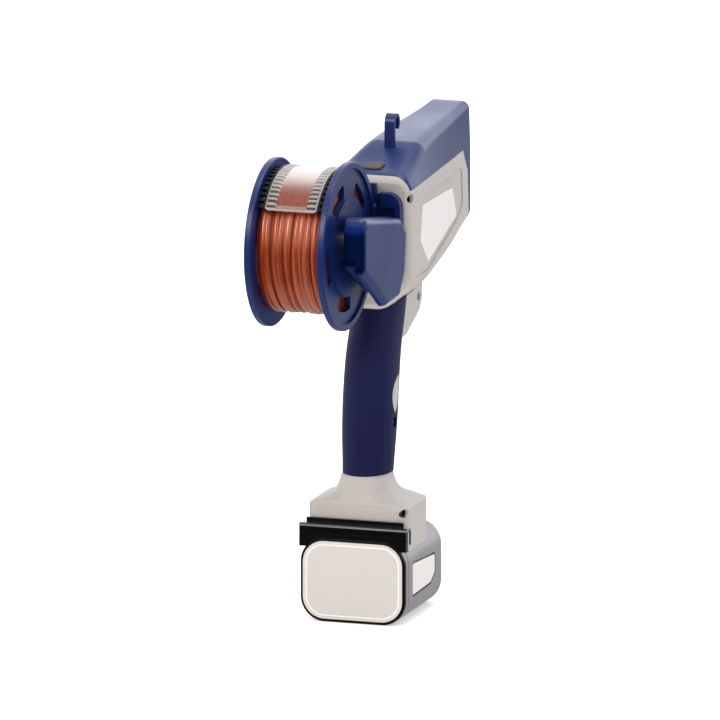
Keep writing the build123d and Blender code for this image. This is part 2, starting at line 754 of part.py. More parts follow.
def battery_label():
    # Raised bare plate with a line cut inside its rim
    face = Pos(0, PACK_TOP / 2) * RectangleRounded(LABEL_WIDE, LABEL_HIGH, LABEL_CORNER)
    front = END_REAR - LABEL_RISE
    body = along_y(face, front, END_REAR)
    body = chamfer(body.faces().sort_by(Axis.Y)[0].edges(), 0.3)
    line = offset(face, -LABEL_RIM) - offset(face, -LABEL_RIM - LABEL_LINE)
    return body - along_y(line, front - 1, front + 0.3)


def battery_rail():
    body = block(-RAIL_HALF, RAIL_HALF, FOOT_REAR + 0.4, RAIL_FRONT, 48, RAIL_TOP)
    body = chamfer(body.edges().filter_by(Axis.Y).sort_by(Axis.Z)[-2:], 1.5)
    flange_wide = block(-34.4, 34.4, LATCH_FRONT + 0.35, FOOT_REAR - 0.3, 55, RAIL_TOP + 0.6)
    neck = block(-RAIL_HALF, RAIL_HALF, FOOT_REAR - 0.4, FOOT_REAR + 0.5, 55, RAIL_TOP)
    body = body + flange_wide + neck - along_y(pack_section(), -60, 60)
    for side in (-1, 1):
        low, high = sorted((side * GROOVE_HALF, side * 40))
        body = body - block(low, high, FOOT_REAR - 0.3, RAIL_FRONT + 1, GROOVE_LOW, GROOVE_HIGH)
    slots = [block(x - 2.0, x + 2.0, RAIL_FRONT - 12, RAIL_FRONT + 1, 66, RAIL_TOP + 1)
             for x in CONTACT_SPOTS]
    return body - slots


def battery_contacts():
    return [block(x - 2.0, x - 1.0, RAIL_FRONT - 11, RAIL_FRONT - 2, 66, 69) for x in CONTACT_SPOTS]


def base_contacts():
    carrier = block(-20, 20, RAIL_FRONT + 0.6, FOOT_FRONT - WALL, 65.5, SOCKET_ROOF)
    prongs = [block(x, x + 1.0, RAIL_FRONT - 8, RAIL_FRONT + 1, 66.8, 69.2) for x in CONTACT_SPOTS]
    return carrier + prongs


def battery_cells():
    cells = []
    pitch = 2 * CELL_R + 0.3
    for row in (0, 1):
        for column in range(3):
            x = (column - 1) * pitch
            z = PACK_TOP / 2 + (row - 0.5) * pitch
            cells.append(rod_y(CELL_R, PACK_REAR + 3, PACK_REAR + 3 + CELL_LENGTH, x, z))
    return cells


def battery_board():
    return block(-24, 24, PACK_REAR + 6, PACK_REAR + 62, 51.5, 53.1)


# Controls


def trigger():
    y, z = TRIGGER_PIVOT
    front = ThreePointArc((y + 5, z - 8), (y - 7, z - 27), (y - 4, z - 46))
    edges = (front, Line((y - 4, z - 46), (y - 15, z - 46)), Line((y - 15, z - 46), (y - 17, z - 22)),
             Line((y - 17, z - 22), (y - 8, z + 4)), Line((y - 8, z + 4), (y + 5, z + 4)),
             Line((y + 5, z + 4), (y + 5, z - 8)))
    body = along_x(make_face(edges), -TRIGGER_HALF, TRIGGER_HALF)
    rims = body.edges().filter_by(lambda e: e.center().Z < z - 6).filter_by(Axis.X, reverse=True)
    body = fillet(rims.sort_by(Axis.Y)[-2:], 2.0)
    return body - rod_x(PIN_R + SHAFT_PLAY, -20, 20, y, z)


def trigger_pin():
    y, z = TRIGGER_PIVOT
    return rod_x(PIN_R, -11.0, 11.0, y, z)


def power_button():
    face = RectangleRounded(BUTTON_WIDE, BUTTON_WIDE, BUTTON_CORNER)
    body = extrude(button_plane().offset(-BUTTON_DEEP) * face, amount=BUTTON_DEEP + BUTTON_RISE)
    top = body.faces().sort_by(Axis.Z)[-1]
    body = fillet(top.edges(), 0.9)
    stem = extrude(button_plane().offset(-8.8) * Circle(2.0), amount=5.5)
    return body + stem


def button_switch():
    return block(-8, 8, BUTTON_Y - 6, BUTTON_Y + 6, 292.5, 295.8)


def trigger_switch():
    body = block(-5.5, 5.5, 2, 16, 166, 186)
    return body + rod_y(1.5, 16, 23, 0, 178)


def control_board():
    floor = SOCKET_ROOF + WALL
    board = block(-24, 24, -20, FOOT_FRONT - 4, floor, floor + 1.6)
    chip = block(-14, 14, -16, -8, floor + 1.6, floor + 3.0)
    return board + chip


# Drive line


def gear(teeth, width_start, width_end, z, turn):
    # Straight spur gear with involute flanks, axis along Y
    pitch_r = MODULE * teeth / 2
    base_r = pitch_r * math.cos(math.radians(20))
    tip_r = pitch_r + 0.78 * MODULE
    root_r = pitch_r - 1.15 * MODULE
    play = 0.14
    involute = math.tan(math.radians(20)) - math.radians(20)
    half = math.pi / (2 * teeth) - play / (2 * pitch_r) + involute

    def flank(radius):
        if radius <= base_r:
            return half
        pressure = math.acos(base_r / radius)
        return half - (math.tan(pressure) - pressure)

    low = max(base_r, root_r)
    radii = [root_r] + [low + (tip_r - low) * i / 3 for i in range(4)]
    points = []
    for tooth in range(teeth):
        middle = math.radians(turn) + tooth * 2 * math.pi / teeth
        for radius in radii:
            angle = middle - flank(radius)
            points.append((radius * math.cos(angle), z + radius * math.sin(angle)))
        for radius in reversed(radii):
            angle = middle + flank(radius)
            points.append((radius * math.cos(angle), z + radius * math.sin(angle)))
    kept = [points[0]]
    for point in points[1:]:
        if math.dist(point, kept[-1]) > 0.02:
            kept.append(point)
    return along_y(outline(*kept), width_start, width_end)


def motor():
    can = rod_y(MOTOR_R, 2, 56, 0, MOTOR_Z)
    can = chamfer(can.edges().filter_by(GeomType.CIRCLE), 1.0)
    nose = rod_y(8.0, -2, 2, 0, MOTOR_Z)
    return can + nose


def gearbox():
    body = rod_y(GEARBOX_R, 56, 82, 0, MOTOR_Z)
    bore = rod_y(OUTPUT_R + RUN_GAP, 70, 90, 0, MOTOR_Z)
    return chamfer(body.edges().filter_by(GeomType.CIRCLE), 1.0) - bore


def motor_pinion():
    return gear(PINION_TEETH, 84, 94, MOTOR_Z, 90.0) + rod_y(OUTPUT_R, 72, 84, 0, MOTOR_Z)


def drive_wheel():
    bore = rod_y(SHAFT_R, 80, 100, 0, TWIST_Z)
    return gear(WHEEL_TEETH, 85, 93, TWIST_Z, 90.0 + 180.0 / WHEEL_TEETH) - bore


def twist_shaft():
    return rod_y(SHAFT_R, 83, TWISTER_REAR, 0, TWIST_Z)


def shaft_bearings():
    rings = []
    for y in BEARING_SPOTS:
        front = y + BEARING_WIDE
        ring = rod_y(BEARING_R, y, front, 0, TWIST_Z)
        rings.append(ring - rod_y(SHAFT_R + SHAFT_PLAY, y - 1, front + 1, 0, TWIST_Z))
    return rings


def twister():
    # Rotating fork that grips and twists the two ribbon ends
    hub = rod_y(TWISTER_R, TWISTER_REAR, 182, 0, TWIST_Z)
    cone = Pos(0, 184, TWIST_Z) * Rot(-90, 0, 0) * Cone(TWISTER_R, 5.2, 4)
    slot = block(-1.2, 1.2, 177, 195, TWIST_Z - 10, TWIST_Z + 10)
    return hub + cone - slot


def bearing_carriers():
    carriers = []
    for y in BEARING_SPOTS:
        front = y + BEARING_WIDE
        half = head_half(front) - WALL - 0.4
        plate = block(-half, half, y, front, TWIST_Z - 13, TWIST_Z + 11)
        carriers.append(plate - rod_y(BEARING_R, y - 1, front + 1, 0, TWIST_Z))
    return carriers


def roller(z):
    body = rod_x(ROLLER_R, -6, 6, ROLLER_Y, z)
    groove = rod_x(ROLLER_R + 1, -2.2, 2.2, ROLLER_Y, z) - rod_x(ROLLER_R - 0.4, -3, 3, ROLLER_Y, z)
    return body - groove - rod_x(PIN_R + SHAFT_PLAY, -10, 10, ROLLER_Y, z)


def roller_pins():
    return [rod_x(PIN_R, -9.0, 9.0, ROLLER_Y, z) for z in (FEED_Z, IDLER_Z)]


def roller_brackets():
    side = outline((118, 255), (152, 255), (152, 274), (138, 302), (118, 302))
    side = fillet(side.vertices().sort_by(Axis.Y)[-2:], 4.0)
    plates = [along_x(side, 7.0, 9.0), along_x(side, -9.0, -7.0)]
    return [plate - roller_pins() for plate in plates]


def guide_tube(start, end):
    # Rectangular tube from one point of the ribbon's way to the next
    way = Vector(*end) - Vector(*start)
    plane = Plane(origin=start, x_dir=(1, 0, 0), z_dir=way)
    outer = extrude(plane * RectangleRounded(8.0, 5.0, 1.0), amount=way.length)
    return outer - extrude(plane * RectangleRounded(5.4, 2.4, 0.6), amount=way.length)


def ribbon_guide():
    rear = guide_tube((0, -7.5, INLET_Z), (0, ROLLER_Y - 9, RIBBON_Z))
    front = guide_tube((0, ROLLER_Y + 9, RIBBON_Z), (0, GUIDE_END, RIBBON_Z))
    return [rear, front]


def nose_frame():
    body = block(-NOSE_HALF, NOSE_HALF, GUIDE_END + 0.2, NOSE_FRONT, NOSE_LOW, NOSE_TOP)
    body = fillet(body.edges().filter_by(Axis.Y), 3.0)
    body = body - rod_y(TWISTER_R + RUN_GAP, 150, 190, 0, TWIST_Z)
    hook_room = block(-2.8, 2.8, 150, 190, 280, 320)
    return body - hook_room - hook_pin() - fixed_jaw()


def fixed_jaw():
    # Lower steel jaw with a rounded mouth
    low = NOSE_LOW + 0.5
    high = 254.5
    edges = (Line((164, low), (192, low)), ThreePointArc((192, low), (201, low + 4), (204, low + 15)),
             Line((204, low + 15), (199.5, low + 16)),
             ThreePointArc((199.5, low + 16), (196, low + 9), (189, low + 6.5)),
             Line((189, low + 6.5), (181, high)), Line((181, high), (164, high)),
             Line((164, high), (164, low)))
    return along_x(make_face(edges), -3.0, 3.0)


def tying_hook():
    y, z = HOOK_PIVOT
    outer = ThreePointArc((y - 2, z + 5), (y + 14, z + 15), (y + 28.5, z + 2))
    inner = ThreePointArc((y + 24.5, z + 1.5), (y + 13, z + 9.5), (y + 4, z - 4))
    edges = (outer, Line(outer @ 1, inner @ 0), inner, Line(inner @ 1, (y - 4, z - 3)),
             Line((y - 4, z - 3), outer @ 0))
    body = along_x(make_face(edges), -2.2, 2.2)
    return body + rod_x(5.0, -2.2, 2.2, y, z) - rod_x(PIN_R + SHAFT_PLAY, -5, 5, y, z)


def hook_pin():
    y, z = HOOK_PIVOT
    return rod_x(PIN_R, -9.0, 9.0, y, z)


os.makedirs("parts", exist_ok=True)
left_housing, right_housing = housings()
NODES = {
    "left_housing": left_housing,
    "right_housing": right_housing,
    "top_cover": top_cover(),
    "grip_sleeve": grip_sleeve(),
    "housing_screws": housing_screws(),
    "side_plate": side_plate(),
    "hanging_hook": hanging_hook(),
    "spool_flange_left": flange(FLANGE_LEFT_IN, -1),
    "spool_flange_right": flange(FLANGE_RIGHT_IN, 1),
    "spool_core": spool_core(),
    "ribbon_pack": ribbon_pack(),
    "ribbon_winding": ribbon_winding(),
    "retainer_sheet": retainer_sheet(),
    "retainer_combs": retainer_combs(),
    "spool_axle": spool_axle(),
    "spool_knob": spool_knob(),
    "spool_arm": spool_arm(),
    "arm_cover": arm_cover(),
    "arm_screws": arm_screws(),
    "brake_lever": brake_lever(),
    "brake_pin": brake_pin(),
    "battery_case": battery_case(),
    "battery_end": battery_end(),
    "battery_label": battery_label(),
    "battery_side_plate": battery_side_plate(),
    "battery_rail": battery_rail(),
    "battery_contacts": battery_contacts(),
    "battery_cells": battery_cells(),
    "battery_board": battery_board(),
    "battery_latch": battery_latch(),
    "latch_pin": latch_pin(),
    "base_contacts": base_contacts(),
    "trigger": trigger(),
    "trigger_pin": trigger_pin(),
    "trigger_switch": trigger_switch(),
    "power_button": power_button(),
    "button_switch": button_switch(),
    "control_board": control_board(),
    "motor": motor(),
    "gearbox": gearbox(),
    "motor_pinion": motor_pinion(),
    "drive_wheel": drive_wheel(),
    "twist_shaft": twist_shaft(),
    "twister": twister(),
    "shaft_bearings": shaft_bearings(),
    "bearing_carriers": bearing_carriers(),
    "feed_roller": roller(FEED_Z),
    "idler_roller": roller(IDLER_Z),
    "roller_pins": roller_pins(),
    "roller_brackets": roller_brackets(),
    "ribbon_guide": ribbon_guide(),
    "nose_frame": nose_frame(),
    "fixed_jaw": fixed_jaw(),
    "tying_hook": tying_hook(),
    "hook_pin": hook_pin(),
}
for name, piece in NODES.items():
    solid = Compound(children=list(piece)) if isinstance(piece, list) else piece
    print(name, len(solid.solids()), round(solid.volume), solid.is_valid)
    export_step(solid, f"parts/{name}.step")
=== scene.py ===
# %% [markdown]
# # A cordless vine tying tool, dressed over its solid frame
# The tool stands on its battery. A spool of brown tying ribbon hangs behind the head, and a blue grip joins
# the head to the battery foot. The solids arrive already at their real size, in metres, so every piece below
# is placed by asking the frame where a neighbour lies. Nothing is fitted by eye.

# %% Load the frame
import math
import random

import bpy
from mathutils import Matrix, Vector


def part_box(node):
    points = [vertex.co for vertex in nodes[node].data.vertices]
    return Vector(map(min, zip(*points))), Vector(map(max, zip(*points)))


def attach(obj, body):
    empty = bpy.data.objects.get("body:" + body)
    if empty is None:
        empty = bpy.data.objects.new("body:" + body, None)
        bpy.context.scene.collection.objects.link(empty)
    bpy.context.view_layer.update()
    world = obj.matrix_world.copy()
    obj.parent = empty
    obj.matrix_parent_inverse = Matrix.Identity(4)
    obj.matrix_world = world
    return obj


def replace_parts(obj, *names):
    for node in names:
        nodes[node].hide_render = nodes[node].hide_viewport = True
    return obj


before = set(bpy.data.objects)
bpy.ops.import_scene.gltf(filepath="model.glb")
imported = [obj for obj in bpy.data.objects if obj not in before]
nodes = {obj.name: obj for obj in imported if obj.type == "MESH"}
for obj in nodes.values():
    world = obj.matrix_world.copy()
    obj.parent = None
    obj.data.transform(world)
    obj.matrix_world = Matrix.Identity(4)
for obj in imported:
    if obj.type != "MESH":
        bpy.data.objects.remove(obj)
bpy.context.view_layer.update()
MM = 0.001
print("frame holds", len(nodes), "solids")

# %% [markdown]
# ## Where the viewer stands
# A product photograph is taken from far away with a long lens, which keeps upright edges parallel. The camera
# is put on a line through the middle of the picture, 18 degrees round to the right and 12 degrees up, and the
# lens is worked out from the stretch that the picture spans at the tool.

# %% Camera
VIEW_TURN = math.radians(18)
VIEW_RISE = math.radians(12)
PICTURE_CENTRE = Vector((-7.7, 0.0, 173.5)) * MM
PICTURE_SPAN = 486.5 * MM
CAMERA_DISTANCE = 18.0
SENSOR_WIDTH = 36.0

towards_viewer = Vector((
    math.sin(VIEW_TURN) * math.cos(VIEW_RISE),
    -math.cos(VIEW_TURN) * math.cos(VIEW_RISE),
    math.sin(VIEW_RISE),
))
bpy.ops.object.camera_add(location=PICTURE_CENTRE + CAMERA_DISTANCE * towards_viewer)
camera = bpy.context.object
camera.rotation_euler = towards_viewer.to_track_quat("Z", "Y").to_euler()
camera.data.sensor_width = SENSOR_WIDTH
camera.data.clip_end = 2 * CAMERA_DISTANCE
camera.data.lens = SENSOR_WIDTH * CAMERA_DISTANCE / PICTURE_SPAN
bpy.context.scene.camera = camera
print("lens", round(camera.data.lens), "mm")

# %% [markdown]
# ## Helpers for node trees
# Every finish below is a tree of nodes. By hand one drags nodes into the shader editor and joins their sockets.
# In a script a few short helpers do that: a sum on two values, a soft step between two limits, a mix of two
# colours. Each gives back the socket that comes out, so that one helper can stand inside another.

# %% Node helpers
def new_material(name):
    material = bpy.data.materials.new(name)
    material.use_nodes = True
    return material, material.node_tree, material.node_tree.nodes["Principled BSDF"]


def math_on(tree, operation, *values, clamp=False):
    node = tree.nodes.new("ShaderNodeMath")
    node.operation = operation
    node.use_clamp = clamp
    for socket, value in zip(node.inputs, values):
        if isinstance(value, (int, float)):
            socket.default_value = value
        else:
            tree.links.new(value, socket)
    return node.outputs[0]


def times(tree, first, second):
    return math_on(tree, "MULTIPLY", first, second)


def less(tree, first, second):
    return math_on(tree, "SUBTRACT", first, second)


def ramp_on(tree, value, low, high):
    # Smooth step from 0 at low to 1 at high
    node = tree.nodes.new("ShaderNodeMapRange")
    node.interpolation_type = "SMOOTHSTEP"
    node.inputs["From Min"].default_value = low
    node.inputs["From Max"].default_value = high
    tree.links.new(value, node.inputs["Value"])
    return node.outputs["Result"]


def mix_colours(tree, factor, first, second):
    node = tree.nodes.new("ShaderNodeMix")
    node.data_type = "RGBA"
    tree.links.new(factor, node.inputs["Factor"])
    for socket, value in ((node.inputs[6], first), (node.inputs[7], second)):
        if hasattr(value, "is_linked"):
            tree.links.new(value, socket)
        else:
            socket.default_value = value
    return node.outputs[2]


print("node helpers ready")

# %% [markdown]
# ## A pale floor
# The tool stands on a plain pale floor that fills the picture and glows a little, like a light table, so that
# hardly any shadow is left. A polarising filter would take the floor's glare off the plastic. Here the floor
# is hidden from mirrored rays, which does the same.

# %% Floor
FLOOR_SIZE = 14.0
FLOOR_PALE = (0.9, 0.9, 0.9, 1)
FLOOR_ROUGH = 0.8
FLOOR_GLOW = 0.34

bpy.ops.object.select_all(action="DESELECT")
bpy.ops.mesh.primitive_plane_add(size=FLOOR_SIZE)
floor = bpy.context.object
floor.name = "floor"
floor_paint, _, floor_shader = new_material("pale_floor")
floor_shader.inputs["Base Color"].default_value = FLOOR_PALE
floor_shader.inputs["Roughness"].default_value = FLOOR_ROUGH
floor_shader.inputs["Emission Color"].default_value = (1, 1, 1, 1)
floor_shader.inputs["Emission Strength"].default_value = FLOOR_GLOW
floor.data.materials.append(floor_paint)
floor.visible_glossy = False
print("floor", FLOOR_SIZE, "m wide")

# %% [markdown]
# ## A white tent
# The tent round the tool is white overhead, brightest behind the tool, and dark where the photographer
# stands. Gloss needs that: a face that looks straight at the viewer mirrors the dark side and keeps its full
# colour, and a face seen at a slant mirrors the bright wall and turns pale. The tent is a world shader: each
# direction gets its brightness from how far it points up, towards the viewer, or to the far wall.

# %% World
TENT_BRIGHT = 0.95
DARK_TURN = math.radians(38)
DARK_SHARE = 0.98
GROUND_DARK = 0.5
WALL_BOOST = 0.9
ROOF_EDGE = (-0.02, 0.3)
FLOOR_EDGE = (-1.0, -0.8)
VIEWER_EDGE = (-0.1, 0.5)
GROUND_EDGE = (-0.10, 0.04)
WALL_TOP = (0.4, 0.65)
WALL_SIDE = (0.3, 0.85)
COOL_EDGE = (-0.4, 0.9)
WARM_WHITE = (1.0, 0.99, 0.97, 1)
COOL_WHITE = (0.96, 0.98, 1.05, 1)

world = bpy.data.worlds.new("white_tent")
world.use_nodes = True
tent = world.node_tree
direction = tent.nodes.new("ShaderNodeSeparateXYZ")
tent.links.new(tent.nodes.new("ShaderNodeTexCoord").outputs["Generated"], direction.inputs[0])
rightward, forward, upward = (direction.outputs[axis] for axis in "XYZ")
to_viewer = math_on(tent, "ADD", times(tent, rightward, math.sin(DARK_TURN)),
                    times(tent, forward, -math.cos(DARK_TURN)))
dark_band = times(tent, less(tent, 1.0, ramp_on(tent, upward, *ROOF_EDGE)), ramp_on(tent, upward, *FLOOR_EDGE))
dark_side = times(tent, ramp_on(tent, to_viewer, *VIEWER_EDGE), dark_band)
above_ground = ramp_on(tent, upward, *GROUND_EDGE)
ground = math_on(tent, "MULTIPLY_ADD", above_ground, -GROUND_DARK, GROUND_DARK)
dark = math_on(tent, "MAXIMUM", dark_side, ground)
low_wall = less(tent, 1.0, ramp_on(tent, upward, *WALL_TOP))
far_wall = times(tent, times(tent, ramp_on(tent, forward, *WALL_SIDE), low_wall), above_ground)
even = math_on(tent, "MULTIPLY_ADD", dark, -TENT_BRIGHT * DARK_SHARE, TENT_BRIGHT)
cool_side = ramp_on(tent, math_on(tent, "ADD", rightward, forward), *COOL_EDGE)
background = tent.nodes["Background"]
tent.links.new(math_on(tent, "MULTIPLY_ADD", far_wall, WALL_BOOST, even), background.inputs["Strength"])
tent.links.new(mix_colours(tent, cool_side, WARM_WHITE, COOL_WHITE), background.inputs["Color"])
bpy.context.scene.world = world
bpy.context.scene.view_settings.view_transform = "Standard"
print("tent has", len(tent.nodes), "nodes")

# %% [markdown]
# ## Two soft boxes
# The key stands behind the photographer's left shoulder and puts a soft light on every face that looks back.
# The second box hangs overhead and models the roof. Large lamps give soft edges, so both are about a metre wide.

# %% Lamps
TOOL_MIDDLE = Vector((0.0, 0.0, 0.18))
SOFT_BOXES = (
    ("key_box", Vector((-0.75, -2.2, 1.85)), 1.0, 22),
    ("top_box", Vector((0.2, 0.3, 2.3)), 1.4, 22),
)
for name, place, size, watts in SOFT_BOXES:
    bpy.ops.object.light_add(type="AREA", location=place)
    lamp = bpy.context.object
    lamp.name = name
    lamp.data.size = size
    lamp.data.energy = watts
    lamp.rotation_euler = (place - TOOL_MIDDLE).to_track_quat("Z", "Y").to_euler()
    print(name, "gives", watts, "W from", round((place - TOOL_MIDDLE).length, 2), "m")

# %% [markdown]
# ## Shared effect: moulded skin
# Moulded plastic is never one flat colour. A mould leaves a fine grain, and hands leave broad, faint clouds
# in the gloss. Both effects are built once as a node group and placed in every moulded material with its own
# values. The group gives out only what changes over the surface, and the shader stays in the material.

# %% Group: moulded skin
SPECK_SPREAD = 2.4
GLOSS_SWING = 0.22


def new_group(name, inputs, outputs):
    group = bpy.data.node_groups.new(name, "ShaderNodeTree")
    for label, kind, value in inputs:
        socket = group.interface.new_socket(label, in_out="INPUT", socket_type=kind)
        socket.default_value = value
    for label, kind in outputs:
        group.interface.new_socket(label, in_out="OUTPUT", socket_type=kind)
    return group, group.nodes.new("NodeGroupInput"), group.nodes.new("NodeGroupOutput")


def noise_on(tree, vector, scale, detail, roughness=0.55):
    noise = tree.nodes.new("ShaderNodeTexNoise")
    noise.inputs["Detail"].default_value = detail
    noise.inputs["Roughness"].default_value = roughness
    tree.links.new(vector, noise.inputs["Vector"])
    if isinstance(scale, (int, float)):
        noise.inputs["Scale"].default_value = scale
    else:
        tree.links.new(scale, noise.inputs["Scale"])
    return noise.outputs["Fac"]


def moulded_skin_group():
    group, enter, leave = new_group(
        "moulded_skin",
        (("Colour", "NodeSocketColor", (0.5, 0.5, 0.5, 1)),
         ("Shade", "NodeSocketColor", (0.4, 0.4, 0.4, 1)),
         ("Roughness", "NodeSocketFloat", 0.4),
         ("Grain Scale", "NodeSocketFloat", 900.0),
         ("Cloud Scale", "NodeSocketFloat", 26.0)),
        (("Colour", "NodeSocketColor"), ("Roughness", "NodeSocketFloat"), ("Height", "NodeSocketFloat")))
    place = group.nodes.new("ShaderNodeTexCoord").outputs["Object"]
    grain = noise_on(group, place, enter.outputs["Grain Scale"], 4.0)
    cloud = noise_on(group, place, enter.outputs["Cloud Scale"], 5.0, 0.6)
    speck = math_on(group, "MULTIPLY", times(group, grain, cloud), SPECK_SPREAD, clamp=True)
    tone = mix_colours(group, speck, enter.outputs["Colour"], enter.outputs["Shade"])
    swing = times(group, less(group, cloud, 0.5), GLOSS_SWING)
    group.links.new(tone, leave.inputs["Colour"])
    group.links.new(math_on(group, "ADD", enter.outputs["Roughness"], swing), leave.inputs["Roughness"])
    group.links.new(grain, leave.inputs["Height"])
    return group


MOULDED_SKIN = moulded_skin_group()
print("effect group", MOULDED_SKIN.name, "ready")

# %% [markdown]
# ## A moulded material
# A material is the shared skin joined to a Principled shader. Colours are given as seen on a screen, 0 to 255,
# because that is how one reads them off a colour picker. The shader mixes linear light, so they are converted.

# %% Material helpers
GRAIN_DEEP = 0.1 * MM


def srgb(red, green, blue):
    linear = [((c / 255 + 0.055) / 1.055) ** 2.4 if c > 10 else c / 3294.6 for c in (red, green, blue)]
    return (*linear, 1)


def bumped(tree, shader, height, strength, distance):
    bump = tree.nodes.new("ShaderNodeBump")
    bump.inputs["Strength"].default_value = strength
    bump.inputs["Distance"].default_value = distance
    tree.links.new(height, bump.inputs["Height"])
    tree.links.new(bump.outputs["Normal"], shader.inputs["Normal"])


def skin_on(tree, shader, colour, shade, roughness, grain_scale):
    skin = tree.nodes.new("ShaderNodeGroup")
    skin.node_tree = MOULDED_SKIN
    skin.inputs["Colour"].default_value = srgb(*colour)
    skin.inputs["Shade"].default_value = srgb(*shade)
    skin.inputs["Roughness"].default_value = roughness
    skin.inputs["Grain Scale"].default_value = grain_scale
    tree.links.new(skin.outputs["Roughness"], shader.inputs["Roughness"])
    return skin


def moulded(name, colour, shade, roughness, grain_scale, depth, specular=0.5, metal=0.0):
    material, tree, shader = new_material(name)
    skin = skin_on(tree, shader, colour, shade, roughness, grain_scale)
    tree.links.new(skin.outputs["Colour"], shader.inputs["Base Color"])
    bumped(tree, shader, skin.outputs["Height"], depth, GRAIN_DEEP)
    shader.inputs["Specular IOR Level"].default_value = specular
    shader.inputs["Metallic"].default_value = metal
    return material


print("grain is", GRAIN_DEEP / MM, "mm deep at full strength")

# %% [markdown]
# ## Finishes of the moulded pieces
# The housing halves are a warm light grey, the hook and the spool a deep navy with a satin gloss. Battery end
# and rail are black, and the retainer's combs a duller black. The pieces inside are cast, machined or plated.
# Each finish is the shared skin with its own two tones, gloss, grain and depth.

# %% Moulded finishes
NAVY, NAVY_SHADE, NAVY_ROUGH, NAVY_GRAIN, NAVY_SPECULAR = (10, 37, 95), (8, 31, 84), 0.32, 800, 0.4
BLACK, BLACK_SHADE, BLACK_GRAIN = (9, 8, 8), (6, 5, 6), 800

FINISH = {
    "grey_shell": moulded("warm_grey_housing", (181, 175, 169), (172, 166, 160), 0.46, 700, 0.12, specular=0.35),
    "blue_cover": moulded("navy_satin_cover", NAVY, NAVY_SHADE, NAVY_ROUGH, NAVY_GRAIN, 0.1, NAVY_SPECULAR),
    "black_plastic": moulded("black_moulding", BLACK, BLACK_SHADE, 0.26, BLACK_GRAIN, 0.04),
    "comb_black": moulded("dull_black_combs", (7, 6, 7), (5, 4, 5), 0.5, 800, 0.04, specular=0.2),
    "plate_white": moulded("bare_side_plate", (224, 220, 215), (216, 212, 207), 0.36, 1200, 0.05),
    "button_rubber": moulded("grey_button_rubber", (74, 70, 72), (64, 60, 63), 0.6, 1100, 0.2, specular=0.3),
    "motor_can": moulded("plated_motor_can", (96, 98, 102), (84, 86, 90), 0.32, 900, 0.08, metal=0.9),
    "cell_can": moulded("cell_sleeve", (60, 126, 110), (50, 112, 98), 0.3, 900, 0.05),
    "board_green": moulded("solder_resist", (14, 92, 52), (10, 80, 44), 0.28, 900, 0.05),
    "steel": moulded("machined_steel", (186, 186, 190), (170, 170, 174), 0.46, 1500, 0.1, metal=1.0),
    "dull_screw": moulded("dull_screw_heads", (132, 129, 126), (116, 113, 110), 0.55, 1500, 0.1, metal=0.8),
    "aluminium": moulded("machined_aluminium", (198, 198, 202), (184, 184, 188), 0.46, 1500, 0.1, metal=1.0),
    "brass": moulded("plated_brass", (206, 172, 96), (190, 156, 84), 0.36, 1500, 0.08, metal=1.0),
}
print(len(FINISH), "moulded finishes")

# %% [markdown]
# ## The grip
# The grip is a soft navy rubber. A fine line runs down its rear, where the two halves of its mould met, and
# hair-fine upright ribs near the foot fade out upwards. Ribs this fine would need thousands of faces, so a sine
# wave across the piece raises them in the shading, and its valleys are painted a little darker as shade.

# %% Grip finish
GRIP, GRIP_SHADE, GRIP_SEAM_AND_VALLEY_SHADE = (26, 30, 72), (21, 24, 62), (10, 11, 32)
GRIP_ROUGH, GRIP_GRAIN, GRIP_SPECULAR = 0.44, 1100, 0.12
GRIP_RIB_PITCH = 2.1 * MM
GRIP_FADE_FROM, GRIP_FADE_TO = 22 * MM, 66 * MM
GRIP_REAR_SHARE = 0.3
SEAM_CORE, SEAM_EDGE = 0.15 * MM, 0.5 * MM
SEAM_DARK, VALLEY_SHADE = 0.8, 0.34
RIB_RELIEF, SEAM_RELIEF, GRAIN_RELIEF = 0.5, 2.0, 0.5
GRIP_BUMP, GRIP_DEEP = 0.3, 0.12 * MM


def object_axes(tree):
    parts = tree.nodes.new("ShaderNodeSeparateXYZ")
    tree.links.new(tree.nodes.new("ShaderNodeTexCoord").outputs["Object"], parts.inputs[0])
    return parts.outputs


def grip_finish():
    material, tree, shader = new_material("navy_soft_grip")
    skin = skin_on(tree, shader, GRIP, GRIP_SHADE, GRIP_ROUGH, GRIP_GRAIN)
    axes = object_axes(tree)
    low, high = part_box("grip_sleeve")
    rear = math_on(tree, "LESS_THAN", axes["Y"], low.y + GRIP_REAR_SHARE * (high.y - low.y))
    lower = less(tree, 1.0, ramp_on(tree, axes["Z"], low.z + GRIP_FADE_FROM, low.z + GRIP_FADE_TO))
    rib = math_on(tree, "SINE", times(tree, axes["X"], 2 * math.pi / GRIP_RIB_PITCH))
    ribs = times(tree, times(tree, rib, lower), RIB_RELIEF)
    seam = less(tree, 1.0, ramp_on(tree, math_on(tree, "ABSOLUTE", axes["X"]), SEAM_CORE, SEAM_EDGE))
    seam = times(tree, times(tree, seam, rear), lower)
    # painted shade in the valleys between the ribs, mixed with the seam's own dark line
    valley_shade = times(tree, math_on(tree, "MULTIPLY_ADD", rib, -0.5, 0.5), lower)
    seam_and_valley_shade = math_on(tree, "MAXIMUM", times(tree, seam, SEAM_DARK), times(tree, valley_shade, VALLEY_SHADE))
    tone = mix_colours(tree, seam_and_valley_shade, skin.outputs["Colour"], srgb(*GRIP_SEAM_AND_VALLEY_SHADE))
    tree.links.new(tone, shader.inputs["Base Color"])
    relief = math_on(tree, "ADD", less(tree, ribs, times(tree, seam, SEAM_RELIEF)),
                     times(tree, skin.outputs["Height"], GRAIN_RELIEF))
    bumped(tree, shader, relief, GRIP_BUMP, GRIP_DEEP)
    shader.inputs["Specular IOR Level"].default_value = GRIP_SPECULAR
    return material


FINISH["blue_grip"] = grip_finish()
print("grip ribs every", GRIP_RIB_PITCH / MM, "mm")

